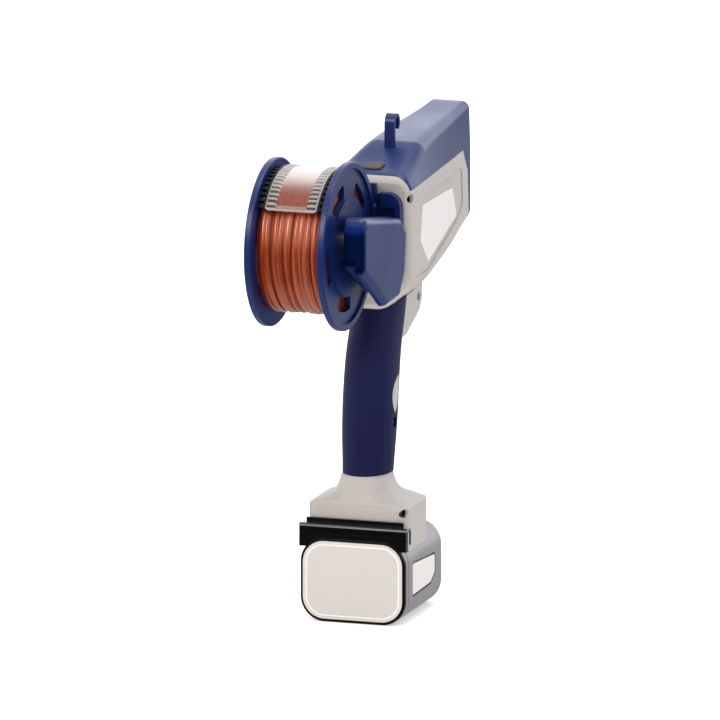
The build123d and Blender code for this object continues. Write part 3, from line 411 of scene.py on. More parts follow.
# %% [markdown]
# ## The battery's rear plate
# The plate has a paler rim and a near-white line that both follow its rounded outline. The distance to that
# outline comes from the rounded box formula: fold the plate into one quarter, step in by the corner radius, and
# measure the length that is left. Any line that runs beside an outline can be drawn this way.

# %% Rear plate finish
PLATE, PLATE_SHADE = (205, 198, 192), (198, 191, 186)
PLATE_RIM, PLATE_LINE = (206, 199, 191), (250, 247, 243)
PLATE_ROUGH, PLATE_GRAIN, PLATE_DEPTH = 0.36, 1200, 0.05
PLATE_CORNER = 15 * MM
LINE_IN, LINE_CORE, LINE_EDGE = 2.55 * MM, 0.2 * MM, 0.55 * MM
RIM_FROM, RIM_TO = 2.2 * MM, 2.5 * MM


def depth_in_plate(tree, axes):
    low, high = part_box("battery_label")
    middle, half = (low + high) / 2, (high - low) / 2
    inside = []
    for axis, centre, reach in (("X", middle.x, half.x), ("Z", middle.z, half.z)):
        folded = math_on(tree, "ABSOLUTE", less(tree, axes[axis], centre))
        inside.append(less(tree, folded, reach - PLATE_CORNER))
    beyond = [math_on(tree, "MAXIMUM", value, 0.0) for value in inside]
    squares = [times(tree, value, value) for value in beyond]
    length = math_on(tree, "SQRT", math_on(tree, "ADD", *squares))
    within = math_on(tree, "MINIMUM", math_on(tree, "MAXIMUM", *inside), 0.0)
    return less(tree, PLATE_CORNER, math_on(tree, "ADD", length, within))


def rear_plate_finish():
    material, tree, shader = new_material("bare_rear_plate")
    skin = skin_on(tree, shader, PLATE, PLATE_SHADE, PLATE_ROUGH, PLATE_GRAIN)
    depth = depth_in_plate(tree, object_axes(tree))
    from_line = math_on(tree, "ABSOLUTE", less(tree, depth, LINE_IN))
    line = less(tree, 1.0, ramp_on(tree, from_line, LINE_CORE, LINE_EDGE))
    rim = less(tree, 1.0, ramp_on(tree, depth, RIM_FROM, RIM_TO))
    tone = mix_colours(tree, rim, skin.outputs["Colour"], srgb(*PLATE_RIM))
    tree.links.new(mix_colours(tree, line, tone, srgb(*PLATE_LINE)), shader.inputs["Base Color"])
    bumped(tree, shader, skin.outputs["Height"], PLATE_DEPTH, GRAIN_DEEP)
    return material


FINISH["label_grey"] = rear_plate_finish()
print("plate line runs", LINE_IN / MM, "mm in from the edge")

# %% [markdown]
# ## The battery case
# The case is a darker grey than the housing. Its side plate lies in a shallow pocket, and the pocket's wall is
# in shadow all round. The wall is real, but so narrow that a painted shade near the plate helps it to show.

# %% Battery case finish
CASE, CASE_SHADE, POCKET_PAINTED_SHADE = (136, 131, 130), (124, 120, 120), (30, 29, 31)
CASE_ROUGH, CASE_GRAIN, CASE_DEPTH, CASE_SPECULAR = 0.34, 700, 0.12, 0.6
POCKET_WALL = 1.6 * MM
POCKET_TOP, POCKET_FLOOR = 0.6 * MM, 0.3 * MM


def case_finish():
    material, tree, shader = new_material("battery_grey")
    skin = skin_on(tree, shader, CASE, CASE_SHADE, CASE_ROUGH, CASE_GRAIN)
    axes = object_axes(tree)
    low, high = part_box("battery_side_plate")
    bounds = (("X", low.x - POCKET_FLOOR, high.x - POCKET_TOP),
              ("Y", low.y - POCKET_WALL, high.y + POCKET_WALL),
              ("Z", low.z - POCKET_WALL, high.z + POCKET_WALL))
    shade = 1.0
    for axis, least, most in bounds:
        shade = times(tree, shade, math_on(tree, "GREATER_THAN", axes[axis], least))
        shade = times(tree, shade, math_on(tree, "LESS_THAN", axes[axis], most))
    # painted shade: a dark tone inside the pocket round the side plate
    tone = mix_colours(tree, shade, skin.outputs["Colour"], srgb(*POCKET_PAINTED_SHADE))
    tree.links.new(tone, shader.inputs["Base Color"])
    bumped(tree, shader, skin.outputs["Height"], CASE_DEPTH, GRAIN_DEEP)
    shader.inputs["Specular IOR Level"].default_value = CASE_SPECULAR
    return material


FINISH["battery_grey"] = case_finish()
print("pocket wall shaded", POCKET_WALL / MM, "mm round the side plate")

# %% [markdown]
# ## The roof's crease
# Ahead of the hook the roof changes its slope, and light breaks along a slightly bowed line. The solid has the
# change of slope. The finish sharpens the line: a height that tilts the shading behind the crease and fades out
# ahead of it. A square root with a small constant rounds the fold, as a mould's edge is never quite sharp.

# %% Roof finish
CREASE_Y = 53 * MM
CREASE_BOW = 1.0
CREASE_SOFT = 0.7 * MM
CREASE_REACH = 45 * MM
CREASE_TILT = 0.1
ROOF_GRAIN_DEEP = 0.01 * MM


def roof_finish():
    material, tree, shader = new_material("navy_satin_roof")
    skin = skin_on(tree, shader, NAVY, NAVY_SHADE, NAVY_ROUGH, NAVY_GRAIN)
    tree.links.new(skin.outputs["Colour"], shader.inputs["Base Color"])
    axes = object_axes(tree)
    bow = times(tree, times(tree, axes["X"], axes["X"]), CREASE_BOW)
    ahead = math_on(tree, "ADD", less(tree, axes["Y"], CREASE_Y), bow)
    near = math_on(tree, "SQRT", math_on(tree, "MULTIPLY_ADD", ahead, ahead, CREASE_SOFT ** 2))
    before = times(tree, math_on(tree, "ADD", near, ahead), 0.5 / CREASE_REACH)
    behind = times(tree, less(tree, near, ahead), 0.5)
    fading = math_on(tree, "EXPONENT", times(tree, before, -1.0))
    level = math_on(tree, "MULTIPLY_ADD", fading, -CREASE_REACH, CREASE_REACH)
    fold = times(tree, math_on(tree, "ADD", level, behind), -CREASE_TILT)
    grain = times(tree, skin.outputs["Height"], ROOF_GRAIN_DEEP)
    bumped(tree, shader, math_on(tree, "ADD", fold, grain), 1.0, 1.0)
    shader.inputs["Specular IOR Level"].default_value = NAVY_SPECULAR
    return material


FINISH["roof_cover"] = roof_finish()
print("crease crosses the roof at", CREASE_Y / MM, "mm")

# %% [markdown]
# ## The arm's end in painted shade
# The arm that carries the spool ends in a face that lies in shade, and the finish paints it darker than the broad
# flank. One finish serves arm and cover: near the rear end it turns to a deep metallic navy as painted shade,
# which mirrors without a white haze.

# %% Arm finish
ARM_END_SHADE = (15, 38, 100)
ARM_END_FROM, ARM_END_TO = 1.5 * MM, 4.5 * MM
ARM_END_ROUGHER = 0.25
ARM_DEPTH = 0.1


def arm_finish():
    material, tree, shader = new_material("navy_satin_arm")
    skin = skin_on(tree, shader, NAVY, NAVY_SHADE, NAVY_ROUGH, NAVY_GRAIN)
    rear_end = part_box("arm_cover")[0].y
    ahead = ramp_on(tree, object_axes(tree)["Y"], rear_end + ARM_END_FROM, rear_end + ARM_END_TO)
    # painted shade: the rear end face is darkened as if in the flange's shadow
    end = less(tree, 1.0, ahead)
    tone = mix_colours(tree, end, skin.outputs["Colour"], srgb(*ARM_END_SHADE))
    rough = math_on(tree, "MULTIPLY_ADD", end, ARM_END_ROUGHER, skin.outputs["Roughness"])
    tree.links.new(tone, shader.inputs["Base Color"])
    tree.links.new(rough, shader.inputs["Roughness"])
    tree.links.new(end, shader.inputs["Metallic"])
    bumped(tree, shader, skin.outputs["Height"], ARM_DEPTH, GRAIN_DEEP)
    shader.inputs["Specular IOR Level"].default_value = NAVY_SPECULAR
    return material


FINISH["arm_blue"] = arm_finish()
print("arm end darkens over", ARM_END_TO / MM, "mm")

# %% [markdown]
# ## The latch bar's lip
# The black latch bar is rounded along its upper edge, and there the key light draws a bright line. The rounding
# is real but small. The finish leans the shading of the last two millimetres back, so that the line can be seen
# from where the viewer stands.

# %% Latch finish
LATCH_ROUGH = 0.22
LIP_HIGH = 2.0 * MM
LIP_LEAN = 0.42


def latch_finish():
    material, tree, shader = new_material("black_latch_bar")
    skin = skin_on(tree, shader, BLACK, BLACK_SHADE, LATCH_ROUGH, BLACK_GRAIN)
    tree.links.new(skin.outputs["Colour"], shader.inputs["Base Color"])
    lip = less(tree, object_axes(tree)["Z"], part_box("battery_latch")[1].z - LIP_HIGH)
    bumped(tree, shader, times(tree, math_on(tree, "MAXIMUM", lip, 0.0), -LIP_LEAN), 1.0, 1.0)
    return material


FINISH["latch_black"] = latch_finish()
print("latch lip is", LIP_HIGH / MM, "mm high")

# %% [markdown]
# ## The clear retainer's finishes
# A bent sheet of hazy plastic keeps the ribbon on the spool. Haze scatters so much light that the turns below
# show only faintly, so the sheet is a thin veil: its alpha lets half of the ribbon through, and the other half
# is the sheet's own warm haze. Rubbed places, laid on by noise, are a little denser, and the crest is painted
# pale as a reflection of the light from above. The frosted ribs and the end strips have their own tones; the gaps
# between the ribs are painted shade.

# %% Clear sheet finishes
SPOOL_LOW, SPOOL_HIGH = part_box("spool_flange_right")
SPOOL_CENTRE = (SPOOL_LOW + SPOOL_HIGH) / 2
HAZE_SCALE, HAZE_DETAIL, HAZE_DENSER = 60.0, 4.0, 0.16
HAZE_ROUGHER, SHEET_ROUGH = 0.12, 0.16
CREST_FROM, CREST_TO = 41 * MM, 51 * MM
CREST_PAINTED_REFLECTION, CREST_REFLECTION_DENSER = (236, 230, 227), 0.3


def hazy_plastic(name, pale, dull, cover, reflection_share):
    material, tree, shader = new_material(name)
    place = tree.nodes.new("ShaderNodeTexCoord").outputs["Object"]
    haze = noise_on(tree, place, HAZE_SCALE, HAZE_DETAIL)
    height = object_axes(tree)["Z"]
    # painted reflection: towards the crest the sheet turns pale and denser
    crest_reflection = ramp_on(tree, height, SPOOL_CENTRE.z + CREST_FROM, SPOOL_CENTRE.z + CREST_TO)
    crest_reflection = times(tree, crest_reflection, reflection_share)
    tone = mix_colours(tree, haze, srgb(*pale), srgb(*dull))
    tree.links.new(mix_colours(tree, crest_reflection, tone, srgb(*CREST_PAINTED_REFLECTION)), shader.inputs["Base Color"])
    rough = math_on(tree, "MULTIPLY_ADD", haze, HAZE_ROUGHER, SHEET_ROUGH)
    tree.links.new(rough, shader.inputs["Roughness"])
    rubbed = math_on(tree, "MULTIPLY_ADD", haze, HAZE_DENSER, cover - HAZE_DENSER / 2)
    dense = math_on(tree, "MULTIPLY_ADD", crest_reflection, CREST_REFLECTION_DENSER, rubbed)
    tree.links.new(math_on(tree, "MINIMUM", dense, 1.0), shader.inputs["Alpha"])
    return material


FINISH["clear_sheet"] = hazy_plastic("clear_retainer_sheet", (156, 88, 74), (140, 72, 60), 0.55, 0.8)
FROSTED_BORDER = hazy_plastic("frosted_retainer_ribs", (176, 171, 168), (150, 144, 141), 0.82, 0.2)
END_BORDER = hazy_plastic("frosted_retainer_end", (168, 140, 130), (148, 120, 111), 0.7, 0.2)
# painted shade: the gaps between the ribs get a dark tone
SHADED_BORDER = hazy_plastic("retainer_gaps_painted_shade", (78, 58, 54), (62, 46, 44), 0.74, 0.3)
print("four finishes for the retainer, about the spool at", [round(c / MM, 1) for c in SPOOL_CENTRE])

# %% [markdown]
# ## The brown ribbon's streaks
# Tying ribbon is a glossy brown film, drawn lengthways. Its streaks run round the spool, so the pattern is laid
# on the angle about the spool's axle instead of on straight coordinates: thin across, long around.

# %% Group: wound film
ALONG_SHRINK = 0.004
STREAK_SCALE, STREAK_DETAIL = 620.0, 3.0
BROAD_SCALE, BROAD_DETAIL = 170.0, 2.0
FILM_SPREAD = 2.4
FILM_ROUGH, FILM_ROUGHER = 0.26, 0.14


def wound_film_group():
    group, enter, leave = new_group(
        "wound_film",
        (("Deep", "NodeSocketColor", (0.2, 0.02, 0.01, 1)), ("Bright", "NodeSocketColor", (0.5, 0.1, 0.04, 1))),
        (("Colour", "NodeSocketColor"), ("Roughness", "NodeSocketFloat"), ("Height", "NodeSocketFloat")))
    axes = object_axes(group)
    back = less(group, axes["Y"], SPOOL_CENTRE.y)
    up = less(group, axes["Z"], SPOOL_CENTRE.z)
    radius = math_on(group, "SQRT", math_on(group, "ADD", times(group, back, back), times(group, up, up)))
    laid = group.nodes.new("ShaderNodeCombineXYZ")
    group.links.new(axes["X"], laid.inputs["X"])
    group.links.new(radius, laid.inputs["Y"])
    group.links.new(times(group, math_on(group, "ARCTAN2", up, back), ALONG_SHRINK), laid.inputs["Z"])
    streak = noise_on(group, laid.outputs[0], STREAK_SCALE, STREAK_DETAIL)
    broad = noise_on(group, laid.outputs[0], BROAD_SCALE, BROAD_DETAIL)
    spread = math_on(group, "MULTIPLY", times(group, streak, broad), FILM_SPREAD, clamp=True)
    tone = mix_colours(group, spread, enter.outputs["Deep"], enter.outputs["Bright"])
    rough = math_on(group, "MULTIPLY_ADD", streak, FILM_ROUGHER, FILM_ROUGH)
    group.links.new(tone, leave.inputs["Colour"])
    group.links.new(rough, leave.inputs["Roughness"])
    group.links.new(streak, leave.inputs["Height"])
    return group


WOUND_FILM = wound_film_group()
print("effect group", WOUND_FILM.name, "ready")

# %% [markdown]
# ## The ribbon's gloss
# Copper-brown film shines twice. The film itself gives a warm, partly metallic gloss, and its clear face a
# nearly white one on top. So the shader gets a warm specular tint, some metal, and a coat. The layers below lie
# in the shade of the top turns, so their copy is painted darker as shade and is duller.

# %% Ribbon finishes
FILM_BUMP, FILM_DEEP = 0.08, 0.2 * MM
RIBBON_METAL = 0.35
RIBBON_IOR = 2.0
RIBBON_TINT = (1.0, 0.62, 0.28, 1)
RIBBON_COAT_ROUGH, RIBBON_COAT_IOR = 0.26, 1.62


def ribbon_finish(name, deep, bright, gloss):
    material, tree, shader = new_material(name)
    film = tree.nodes.new("ShaderNodeGroup")
    film.node_tree = WOUND_FILM
    film.inputs["Deep"].default_value = srgb(*deep)
    film.inputs["Bright"].default_value = srgb(*bright)
    tree.links.new(film.outputs["Colour"], shader.inputs["Base Color"])
    tree.links.new(film.outputs["Roughness"], shader.inputs["Roughness"])
    bumped(tree, shader, film.outputs["Height"], FILM_BUMP, FILM_DEEP)
    shader.inputs["IOR"].default_value = RIBBON_IOR
    shader.inputs["Specular IOR Level"].default_value = gloss / 2
    shader.inputs["Specular Tint"].default_value = RIBBON_TINT
    shader.inputs["Metallic"].default_value = RIBBON_METAL
    shader.inputs["Coat Weight"].default_value = gloss
    shader.inputs["Coat Roughness"].default_value = RIBBON_COAT_ROUGH
    shader.inputs["Coat IOR"].default_value = RIBBON_COAT_IOR
    return material


FINISH["ribbon"] = ribbon_finish("brown_ribbon_film", (120, 20, 0), (180, 64, 0), 1.0)
# painted shade: a darker, duller copy of the film for the layers below
SHADED_LOWER_RIBBON = ribbon_finish("brown_ribbon_below_painted_shade", (84, 18, 5), (130, 44, 18), 0.3)
print("ribbon finishes:", FINISH["ribbon"].name, "and", SHADED_LOWER_RIBBON.name)

# %% [markdown]
# ## Dress the solids
# Each solid keeps its shape and takes the finish of its kind of piece. The three soft solids are not in the
# table, because pieces modelled further down take their place.

# %% Give every solid its finish
DRESS = {
    "grey_shell": "left_housing right_housing",
    "roof_cover": "top_cover",
    "blue_cover": "hanging_hook spool_flange_left spool_flange_right spool_core spool_knob brake_lever",
    "arm_blue": "spool_arm arm_cover",
    "blue_grip": "grip_sleeve",
    "black_plastic": "battery_end battery_rail trigger trigger_switch button_switch nose_frame bearing_carriers "
                     "ribbon_guide idler_roller",
    "comb_black": "retainer_combs",
    "latch_black": "battery_latch",
    "battery_grey": "battery_case",
    "label_grey": "battery_label",
    "plate_white": "side_plate battery_side_plate",
    "button_rubber": "power_button feed_roller",
    "dull_screw": "housing_screws arm_screws",
    "steel": "spool_axle brake_pin latch_pin trigger_pin motor_pinion twist_shaft shaft_bearings roller_pins "
             "hook_pin fixed_jaw tying_hook",
    "aluminium": "twister gearbox roller_brackets drive_wheel",
    "motor_can": "motor",
    "cell_can": "battery_cells",
    "board_green": "control_board battery_board",
    "brass": "battery_contacts base_contacts",
}
dressed = set()
for finish_name, members in DRESS.items():
    for node_name in members.split():
        nodes[node_name].data.materials.clear()
        nodes[node_name].data.materials.append(FINISH[finish_name])
        dressed.add(node_name)
print("dressed", len(dressed), "of", len(nodes), "and left", sorted(set(nodes) - dressed))

# %% [markdown]
# ## Helpers for new pieces
# An operator acts on all that is selected, so a new piece is first made the only selected one. A surface that
# was spun can come out with its faces pointing inwards, so its normals are recalculated before it is smoothed.

# %% Mesh helpers
def select_only(piece):
    bpy.ops.object.select_all(action="DESELECT")
    piece.select_set(True)
    bpy.context.view_layer.objects.active = piece


def add_piece(name, data):
    piece = bpy.data.objects.new(name, data)
    bpy.context.collection.objects.link(piece)
    select_only(piece)
    return piece


def apply_all(piece):
    for modifier in list(piece.modifiers):
        bpy.ops.object.modifier_apply(modifier=modifier.name)


def face_outwards():
    bpy.ops.object.mode_set(mode="EDIT")
    bpy.ops.mesh.select_all(action="SELECT")
    bpy.ops.mesh.normals_make_consistent(inside=False)
    bpy.ops.object.mode_set(mode="OBJECT")


print("mesh helpers ready")

# %% [markdown]
# ## The wound ribbon: one section
# The top layer is one long ribbon laid in turns. By hand one would draw the ribbon's cross-section once and let
# a Screw modifier carry it round the axle. The section starts as a circle of points. It is pressed to a flat
# band with rolled edges and a bulge in the middle, where the ribbon's wire runs.

# %% Ribbon section
WOUND_LOW, WOUND_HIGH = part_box("ribbon_winding")
WOUND_R = (WOUND_HIGH.z - WOUND_LOW.z) / 2
RIBBON_WIDE = 4.35 * MM
RIBBON_THIN = 1.5 * MM
EDGE_ROLL = 0.55
WIRE_BULGE = 0.35 * MM
WIRE_SHARE = 0.35
SECTION_POINTS = 20
FIRST_X = WOUND_LOW.x + RIBBON_WIDE / 2

bpy.ops.object.select_all(action="DESELECT")
bpy.ops.mesh.primitive_circle_add(vertices=SECTION_POINTS, radius=1.0, fill_type="NOTHING",
                                  location=(FIRST_X, SPOOL_CENTRE.y, SPOOL_CENTRE.z))
top_ribbon = bpy.context.object
top_ribbon.name = "ribbon_top_layer"
for corner in top_ribbon.data.vertices:
    across, up = corner.co.x, corner.co.y
    flat = math.copysign(abs(up) ** EDGE_ROLL, up)
    bulge = WIRE_BULGE * math.exp(-(across / WIRE_SHARE) ** 2)
    height = WOUND_R - RIBBON_THIN + flat * (RIBBON_THIN / 2 + bulge)
    corner.co = (across * RIBBON_WIDE / 2, 0, height)
aside = [corner.co.x for corner in top_ribbon.data.vertices]
print("section", RIBBON_WIDE / MM, "mm wide with", len(aside), "points")

# %% [markdown]
# ## The wound ribbon: nine turns
# The Screw modifier sweeps the section round the X axis and moves it along by one pitch in every turn. Each
# step adds one ring of points in the section's own order, which the next cell relies on.

# %% Screw the section round the axle
TURNS = 9
STEPS_PER_TURN = 96

screw = top_ribbon.modifiers.new("turns", "SCREW")
screw.axis = "X"
screw.angle = 2 * math.pi
screw.iterations = TURNS
screw.screw_offset = (WOUND_HIGH.x - WOUND_LOW.x - RIBBON_WIDE) / TURNS
screw.steps = screw.render_steps = STEPS_PER_TURN
screw.use_merge_vertices = False
apply_all(top_ribbon)
print(TURNS, "turns,", round(TURNS * 2 * math.pi * WOUND_R, 2), "m of ribbon")

# %% [markdown]
# ## The wound ribbon: no two turns alike
# Real turns wander, spread and ride up on each other. Each ring of points is nudged sideways, made wider and
# let down by a few slow waves that run along the ribbon. The waves are drawn with a fixed seed, so the winding
# is the same every time. Where a turn would leave the spool, it is pressed flat against the flange.

# %% Let the turns wander
RIBBON_SEED = 4
WAVE_COUNT, SIDE_WAVES = 7, 4
SLOWEST, QUICKEST, RISE_QUICKER = 0.25, 1.6, 1.7
SWAY = 2.0 * MM
SPREAD = 0.5
LIFT = 1.0 * MM

draw = random.Random(RIBBON_SEED)
waves = [(draw.uniform(SLOWEST, QUICKEST), draw.uniform(0, 2 * math.pi)) for _ in range(WAVE_COUNT)]
for index, point in enumerate(top_ribbon.data.vertices):
    ring, place = divmod(index, SECTION_POINTS)
    run = ring * 2 * math.pi / STEPS_PER_TURN
    side = sum(math.sin(rate * run + phase) for rate, phase in waves[:SIDE_WAVES]) / SIDE_WAVES
    rise = sum(math.sin(RISE_QUICKER * rate * run + phase) for rate, phase in waves[SIDE_WAVES - 1:]) / SIDE_WAVES
    outward = Vector((0, point.co.y, point.co.z)).normalized()
    shift = SWAY * side + SPREAD * aside[place] * rise
    point.co += Vector((shift, 0, 0)) + outward * LIFT * (rise - 1) / 2
    point.co.x = min(max(point.co.x, WOUND_LOW.x - FIRST_X), WOUND_HIGH.x - FIRST_X)
face_outwards()
bpy.ops.object.shade_smooth()
bpy.ops.object.transform_apply(location=True, rotation=True, scale=True)
top_ribbon.data.materials.append(FINISH["ribbon"])
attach(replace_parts(top_ribbon, "ribbon_winding"), "spool")
print("top layer has", len(top_ribbon.data.polygons), "faces")

# %% [markdown]
# ## The layers below: their outline
# Between the top turns and through the flange windows the older layers show as edges of ribbon, one over the
# other. One outline holds both: ripples along each side, one for every layer, and a row of humps across the
# top, one for every turn.

# %% Outline of the lower layers
PACK_LOW, PACK_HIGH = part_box("ribbon_pack")
PACK_R = (PACK_HIGH.z - PACK_LOW.z) / 2 - 0.1 * MM
CORE_R = 20.6 * MM
LAYER_THICK = 1.25 * MM
LAYER_SEED = 11
TUCK_MOST = 0.4
RIPPLE_DEEP = 0.5 * MM
HUMP_DEEP = 0.9 * MM
HUMP_ROOM = 0.6 * MM
LAYER_POINTS = 5
HUMP_POINTS = 8

draw = random.Random(LAYER_SEED)
layers = int((PACK_R - CORE_R) / LAYER_THICK)
ripples = []
for layer in range(layers):
    tuck = draw.uniform(0.0, TUCK_MOST) * MM
    for step in range(LAYER_POINTS):
        share = step / LAYER_POINTS
        inward = tuck + RIPPLE_DEEP * (1 - math.sin(math.pi * share))
        ripples.append((inward, CORE_R + (layer + share) * LAYER_THICK))
humps = []
hump_wide = (PACK_HIGH.x - PACK_LOW.x - 2 * HUMP_ROOM) / TURNS
for hump in range(TURNS):
    for step in range(HUMP_POINTS):
        share = step / HUMP_POINTS
        drop = HUMP_DEEP * (1 - math.sin(math.pi * share))
        humps.append((PACK_LOW.x + HUMP_ROOM + (hump + share) * hump_wide, PACK_R - drop))
outline = [(PACK_LOW.x + x, z) for x, z in ripples] + humps
outline += [(PACK_HIGH.x - x, z) for x, z in reversed(ripples)]
print(layers, "layers below the top one,", len(outline), "points in the outline")

# %% [markdown]
# ## The layers below: spun
# The outline is a closed loop of edges. The Screw modifier without any rise spins it once about the axle, and
# merges the last ring with the first, so that the surface is closed.

# %% Spin the lower layers
SPIN_STEPS = 120

loop = bpy.data.meshes.new("ribbon_lower_layers")
loop.from_pydata([(x, 0.0, z) for x, z in outline],
                 [(i, (i + 1) % len(outline)) for i in range(len(outline))], [])
lower_ribbon = add_piece("ribbon_lower_layers", loop)
lower_ribbon.location = (0.0, SPOOL_CENTRE.y, SPOOL_CENTRE.z)
spin = lower_ribbon.modifiers.new("spin", "SCREW")
spin.axis = "X"
spin.angle = 2 * math.pi
spin.steps = spin.render_steps = SPIN_STEPS
spin.use_merge_vertices = True
apply_all(lower_ribbon)
face_outwards()
bpy.ops.object.shade_smooth()
bpy.ops.object.transform_apply(location=True, rotation=True, scale=True)
lower_ribbon.data.materials.append(SHADED_LOWER_RIBBON)
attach(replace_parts(lower_ribbon, "ribbon_pack"), "spool")
print("lower layers have", len(lower_ribbon.data.polygons), "faces")

# %% [markdown]
# ## The retainer over the ribbon: how thick it is
# The clear sheet is moulded in one piece: a thin window in the middle, a thicker border on all sides, and a row
# of cross ribs on each side border for the thumb. It is laid out flat first. One rule says how high the outer
# face stands at a place across the sheet and along its run, with soft steps in between, as in a mould.

# %% Height rule of the sheet
SHEET_LOW, SHEET_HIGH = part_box("retainer_sheet")
SHEET_R = SHEET_HIGH.z - SPOOL_CENTRE.z
SHEET_MIDDLE = (SHEET_LOW.x + SHEET_HIGH.x) / 2
SHEET_HALF = (SHEET_HIGH.x - SHEET_LOW.x) / 2
SHEET_START, SHEET_END = math.radians(56), math.radians(144)
SHEET_LONG = SHEET_R * (SHEET_END - SHEET_START)
BORDER_WIDE, BORDER_END = 7.4 * MM, 4.0 * MM
BORDER_RISE, RIB_RISE = 0.55 * MM, 0.75 * MM
RIB_PITCH = 3.8 * MM
RIB_SLOPE = (-0.35, 0.5)
STEP_IN, STEP_OUT = 0.4 * MM, 0.2 * MM
RIB_START, RIB_FULL, RIB_FALL, RIB_STOP = 0.6 * MM, 1.3 * MM, 1.6 * MM, 0.9 * MM
RIB_END_ROOM = 1.0 * MM
ROUND_OUT, ROUND_IN, ROUND_LEAST = -0.1 * MM, 0.8 * MM, 0.35


def eased(value, low, high):
    share = min(max((value - low) / (high - low), 0.0), 1.0)
    return share * share * (3 - 2 * share)


def rib_share(run):
    return eased(math.sin(2 * math.pi * run / RIB_PITCH), *RIB_SLOPE)


def sheet_rise(across, run):
    to_edge = SHEET_HALF - abs(across)
    to_end = min(run, SHEET_LONG - run)
    border = max(1 - eased(to_edge, BORDER_WIDE - STEP_IN, BORDER_WIDE + STEP_OUT),
                 1 - eased(to_end, BORDER_END - STEP_IN, BORDER_END + STEP_OUT))
    on_rib = eased(to_edge, RIB_START, RIB_FULL)
    on_rib *= 1 - eased(to_edge, BORDER_WIDE - RIB_FALL, BORDER_WIDE - RIB_STOP)
    on_rib *= eased(to_end, BORDER_END - RIB_END_ROOM, BORDER_END)
    rounding = min(eased(to_edge, ROUND_OUT, ROUND_IN), eased(to_end, ROUND_OUT, ROUND_IN))
    rise = BORDER_RISE * border + RIB_RISE * on_rib * rib_share(run)
    return rise * (ROUND_LEAST + (1 - ROUND_LEAST) * rounding)


print("sheet", round(2 * SHEET_HALF / MM, 1), "by", round(SHEET_LONG / MM, 1), "mm when flat")

# %% [markdown]
# ## The retainer over the ribbon: its points
# A grid of rows along the run and columns across is wrapped round the axle. Every grid point is made twice, on
# the outer face and on the inner one. Rows near the two ends are shorter, which rounds the four corners.

# %% Points of the sheet
SHEET_COLUMNS, SHEET_ROWS = 74, 260
SHEET_CORNER = 2.6 * MM
WINDOW_DROP, INNER_DROP = 0.5 * MM, 0.95 * MM

sheet_points = []
for row in range(SHEET_ROWS + 1):
    run = SHEET_LONG * row / SHEET_ROWS
    angle = SHEET_END - run / SHEET_R
    short = max(SHEET_CORNER - min(run, SHEET_LONG - run), 0.0)
    half = SHEET_HALF - SHEET_CORNER + math.sqrt(SHEET_CORNER ** 2 - short ** 2)
    for column in range(SHEET_COLUMNS + 1):
        across = half * (2 * column / SHEET_COLUMNS - 1)
        for radius in (SHEET_R - WINDOW_DROP + sheet_rise(across, run), SHEET_R - INNER_DROP):
            sheet_points.append((SHEET_MIDDLE + across, SPOOL_CENTRE.y + radius * math.cos(angle),
                                 SPOOL_CENTRE.z + radius * math.sin(angle)))
print(len(sheet_points), "points on both faces")

# %% [markdown]
# ## The retainer over the ribbon: its faces
# Each square of the grid gives an outer and an inner face, and strips along the edges close the sheet. Every
# face is told its finish as it is made: 0 is the clear window, 1 the frosted ribs and edges, 2 the gaps between
# ribs in painted shade and 3 the two end strips.

# %% Faces of the sheet
EDGE_WIDE = 0.9 * MM
CLEAR, FROSTED, SHADED, END_STRIP = range(4)


def sheet_finish(column, row):
    to_edge = (min(column, SHEET_COLUMNS - 1 - column) + 0.5) * 2 * SHEET_HALF / SHEET_COLUMNS
    run = SHEET_LONG * (row + 0.5) / SHEET_ROWS
    to_end = min(run, SHEET_LONG - run)
    if min(to_edge, to_end) < EDGE_WIDE:
        return FROSTED
    if to_edge < BORDER_WIDE:
        return FROSTED if rib_share(run) > 0.5 or to_end < BORDER_END / 2 else SHADED
    return END_STRIP if to_end < BORDER_END else CLEAR


ROW_POINTS = 2 * (SHEET_COLUMNS + 1)
sheet_faces, face_finish = [], []
for row in range(SHEET_ROWS):
    for column in range(SHEET_COLUMNS):
        a = row * ROW_POINTS + 2 * column
        b, c, d = a + 2, a + ROW_POINTS + 2, a + ROW_POINTS
        sheet_faces += [(a, b, c, d), (a + 1, d + 1, c + 1, b + 1)]
        face_finish += [sheet_finish(column, row)] * 2
for row in range(SHEET_ROWS):
    for column in (0, SHEET_COLUMNS):
        a = row * ROW_POINTS + 2 * column
        sheet_faces.append((a, a + ROW_POINTS, a + ROW_POINTS + 1, a + 1))
for column in range(SHEET_COLUMNS):
    for row in (0, SHEET_ROWS):
        a = row * ROW_POINTS + 2 * column
        sheet_faces.append((a, a + 1, a + 3, a + 2))
face_finish += [FROSTED] * (len(sheet_faces) - len(face_finish))
print(len(sheet_faces), "faces,", face_finish.count(CLEAR), "of them clear")

# %% [markdown]
# ## The retainer over the ribbon: the piece
# Points and faces become a mesh. Its slots are filled in the order of the numbers above, and edges sharper than
# the limit stay crisp, so that the ribs catch the light.

# %% Retainer sheet
CRISP_FROM = math.radians(50)

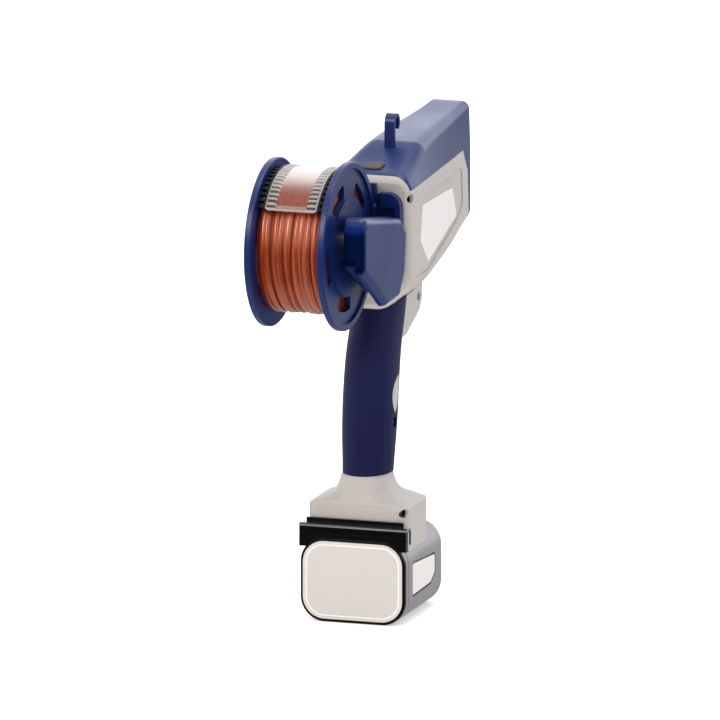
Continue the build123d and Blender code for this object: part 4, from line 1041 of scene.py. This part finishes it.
sheet_mesh = bpy.data.meshes.new("retainer_clear_sheet")
sheet_mesh.from_pydata(sheet_points, [], sheet_faces)
sheet_mesh.polygons.foreach_set("material_index", face_finish)
sheet = add_piece("retainer_clear_sheet", sheet_mesh)
face_outwards()
bpy.ops.object.shade_smooth_by_angle(angle=CRISP_FROM)
for finish in (FINISH["clear_sheet"], FROSTED_BORDER, SHADED_BORDER, END_BORDER):
    sheet.data.materials.append(finish)
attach(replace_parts(sheet, "retainer_sheet"), "spool")
print("retainer has", len(sheet.data.polygons), "faces")

# %% [markdown]
# ## A dark strip for the shade between head and trigger guard
# Where the trigger guard meets the underside of the head, a dark strip paints the shade of the joint on each
# side. It follows a curved surface, so its route is found instead of drawn: a ray is sent straight up beside the
# guard's wall, and where it strikes the head the strip gets a point. A curve with a round section through these
# points, thinner towards the front, is then made a mesh.

# %% Dark strips for the shade beside the guard
GUARD_HALF = 14.6 * MM
STRIP_REAR, STRIP_FRONT = 19 * MM, 50 * MM
STRIP_POINTS = 9
STRIP_R = 0.95 * MM
STRIP_ASIDE, STRIP_SUNK = 0.2 * MM, 0.1 * MM
STRIP_THINNER, TIP_LEAST, TIP_QUICK = 0.35, 0.5, 4
RAY_FROM_Z = 200 * MM


def shade_strip_beside_guard(name, housing, side):
    path = bpy.data.curves.new(name, "CURVE")
    path.dimensions = "3D"
    path.bevel_depth = STRIP_R
    path.bevel_resolution = 3
    path.use_fill_caps = True
    line = path.splines.new("NURBS")
    line.points.add(STRIP_POINTS - 1)
    for index, point in enumerate(line.points):
        share = index / (STRIP_POINTS - 1)
        start = (side * (GUARD_HALF + STRIP_ASIDE), STRIP_REAR + share * (STRIP_FRONT - STRIP_REAR), RAY_FROM_Z)
        struck, spot, _, _ = nodes[housing].ray_cast(start, (0, 0, 1))
        if not struck:
            raise RuntimeError("no head above the guard at " + str(start))
        point.co = (spot.x, spot.y, spot.z - STRIP_SUNK, 1.0)
        point.radius = (1.0 - STRIP_THINNER * share) * min(1.0, TIP_LEAST + TIP_QUICK * (1 - share))
    line.order_u = 3
    line.use_endpoint_u = True
    piece = add_piece(name, path)
    bpy.ops.object.convert(target="MESH")
    bpy.ops.object.shade_smooth_by_angle(angle=CRISP_FROM)
    # painted shade: a black strip laid in the joint where shade falls
    piece.data.materials.append(FINISH["black_plastic"])
    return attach(piece, "tool")


for name, housing, side in (("shade_strip_right", "right_housing", 1), ("shade_strip_left", "left_housing", -1)):
    shade_strip_beside_guard(name, housing, side)
    print(name, "laid from", round(STRIP_REAR / MM), "to", round(STRIP_FRONT / MM), "mm")
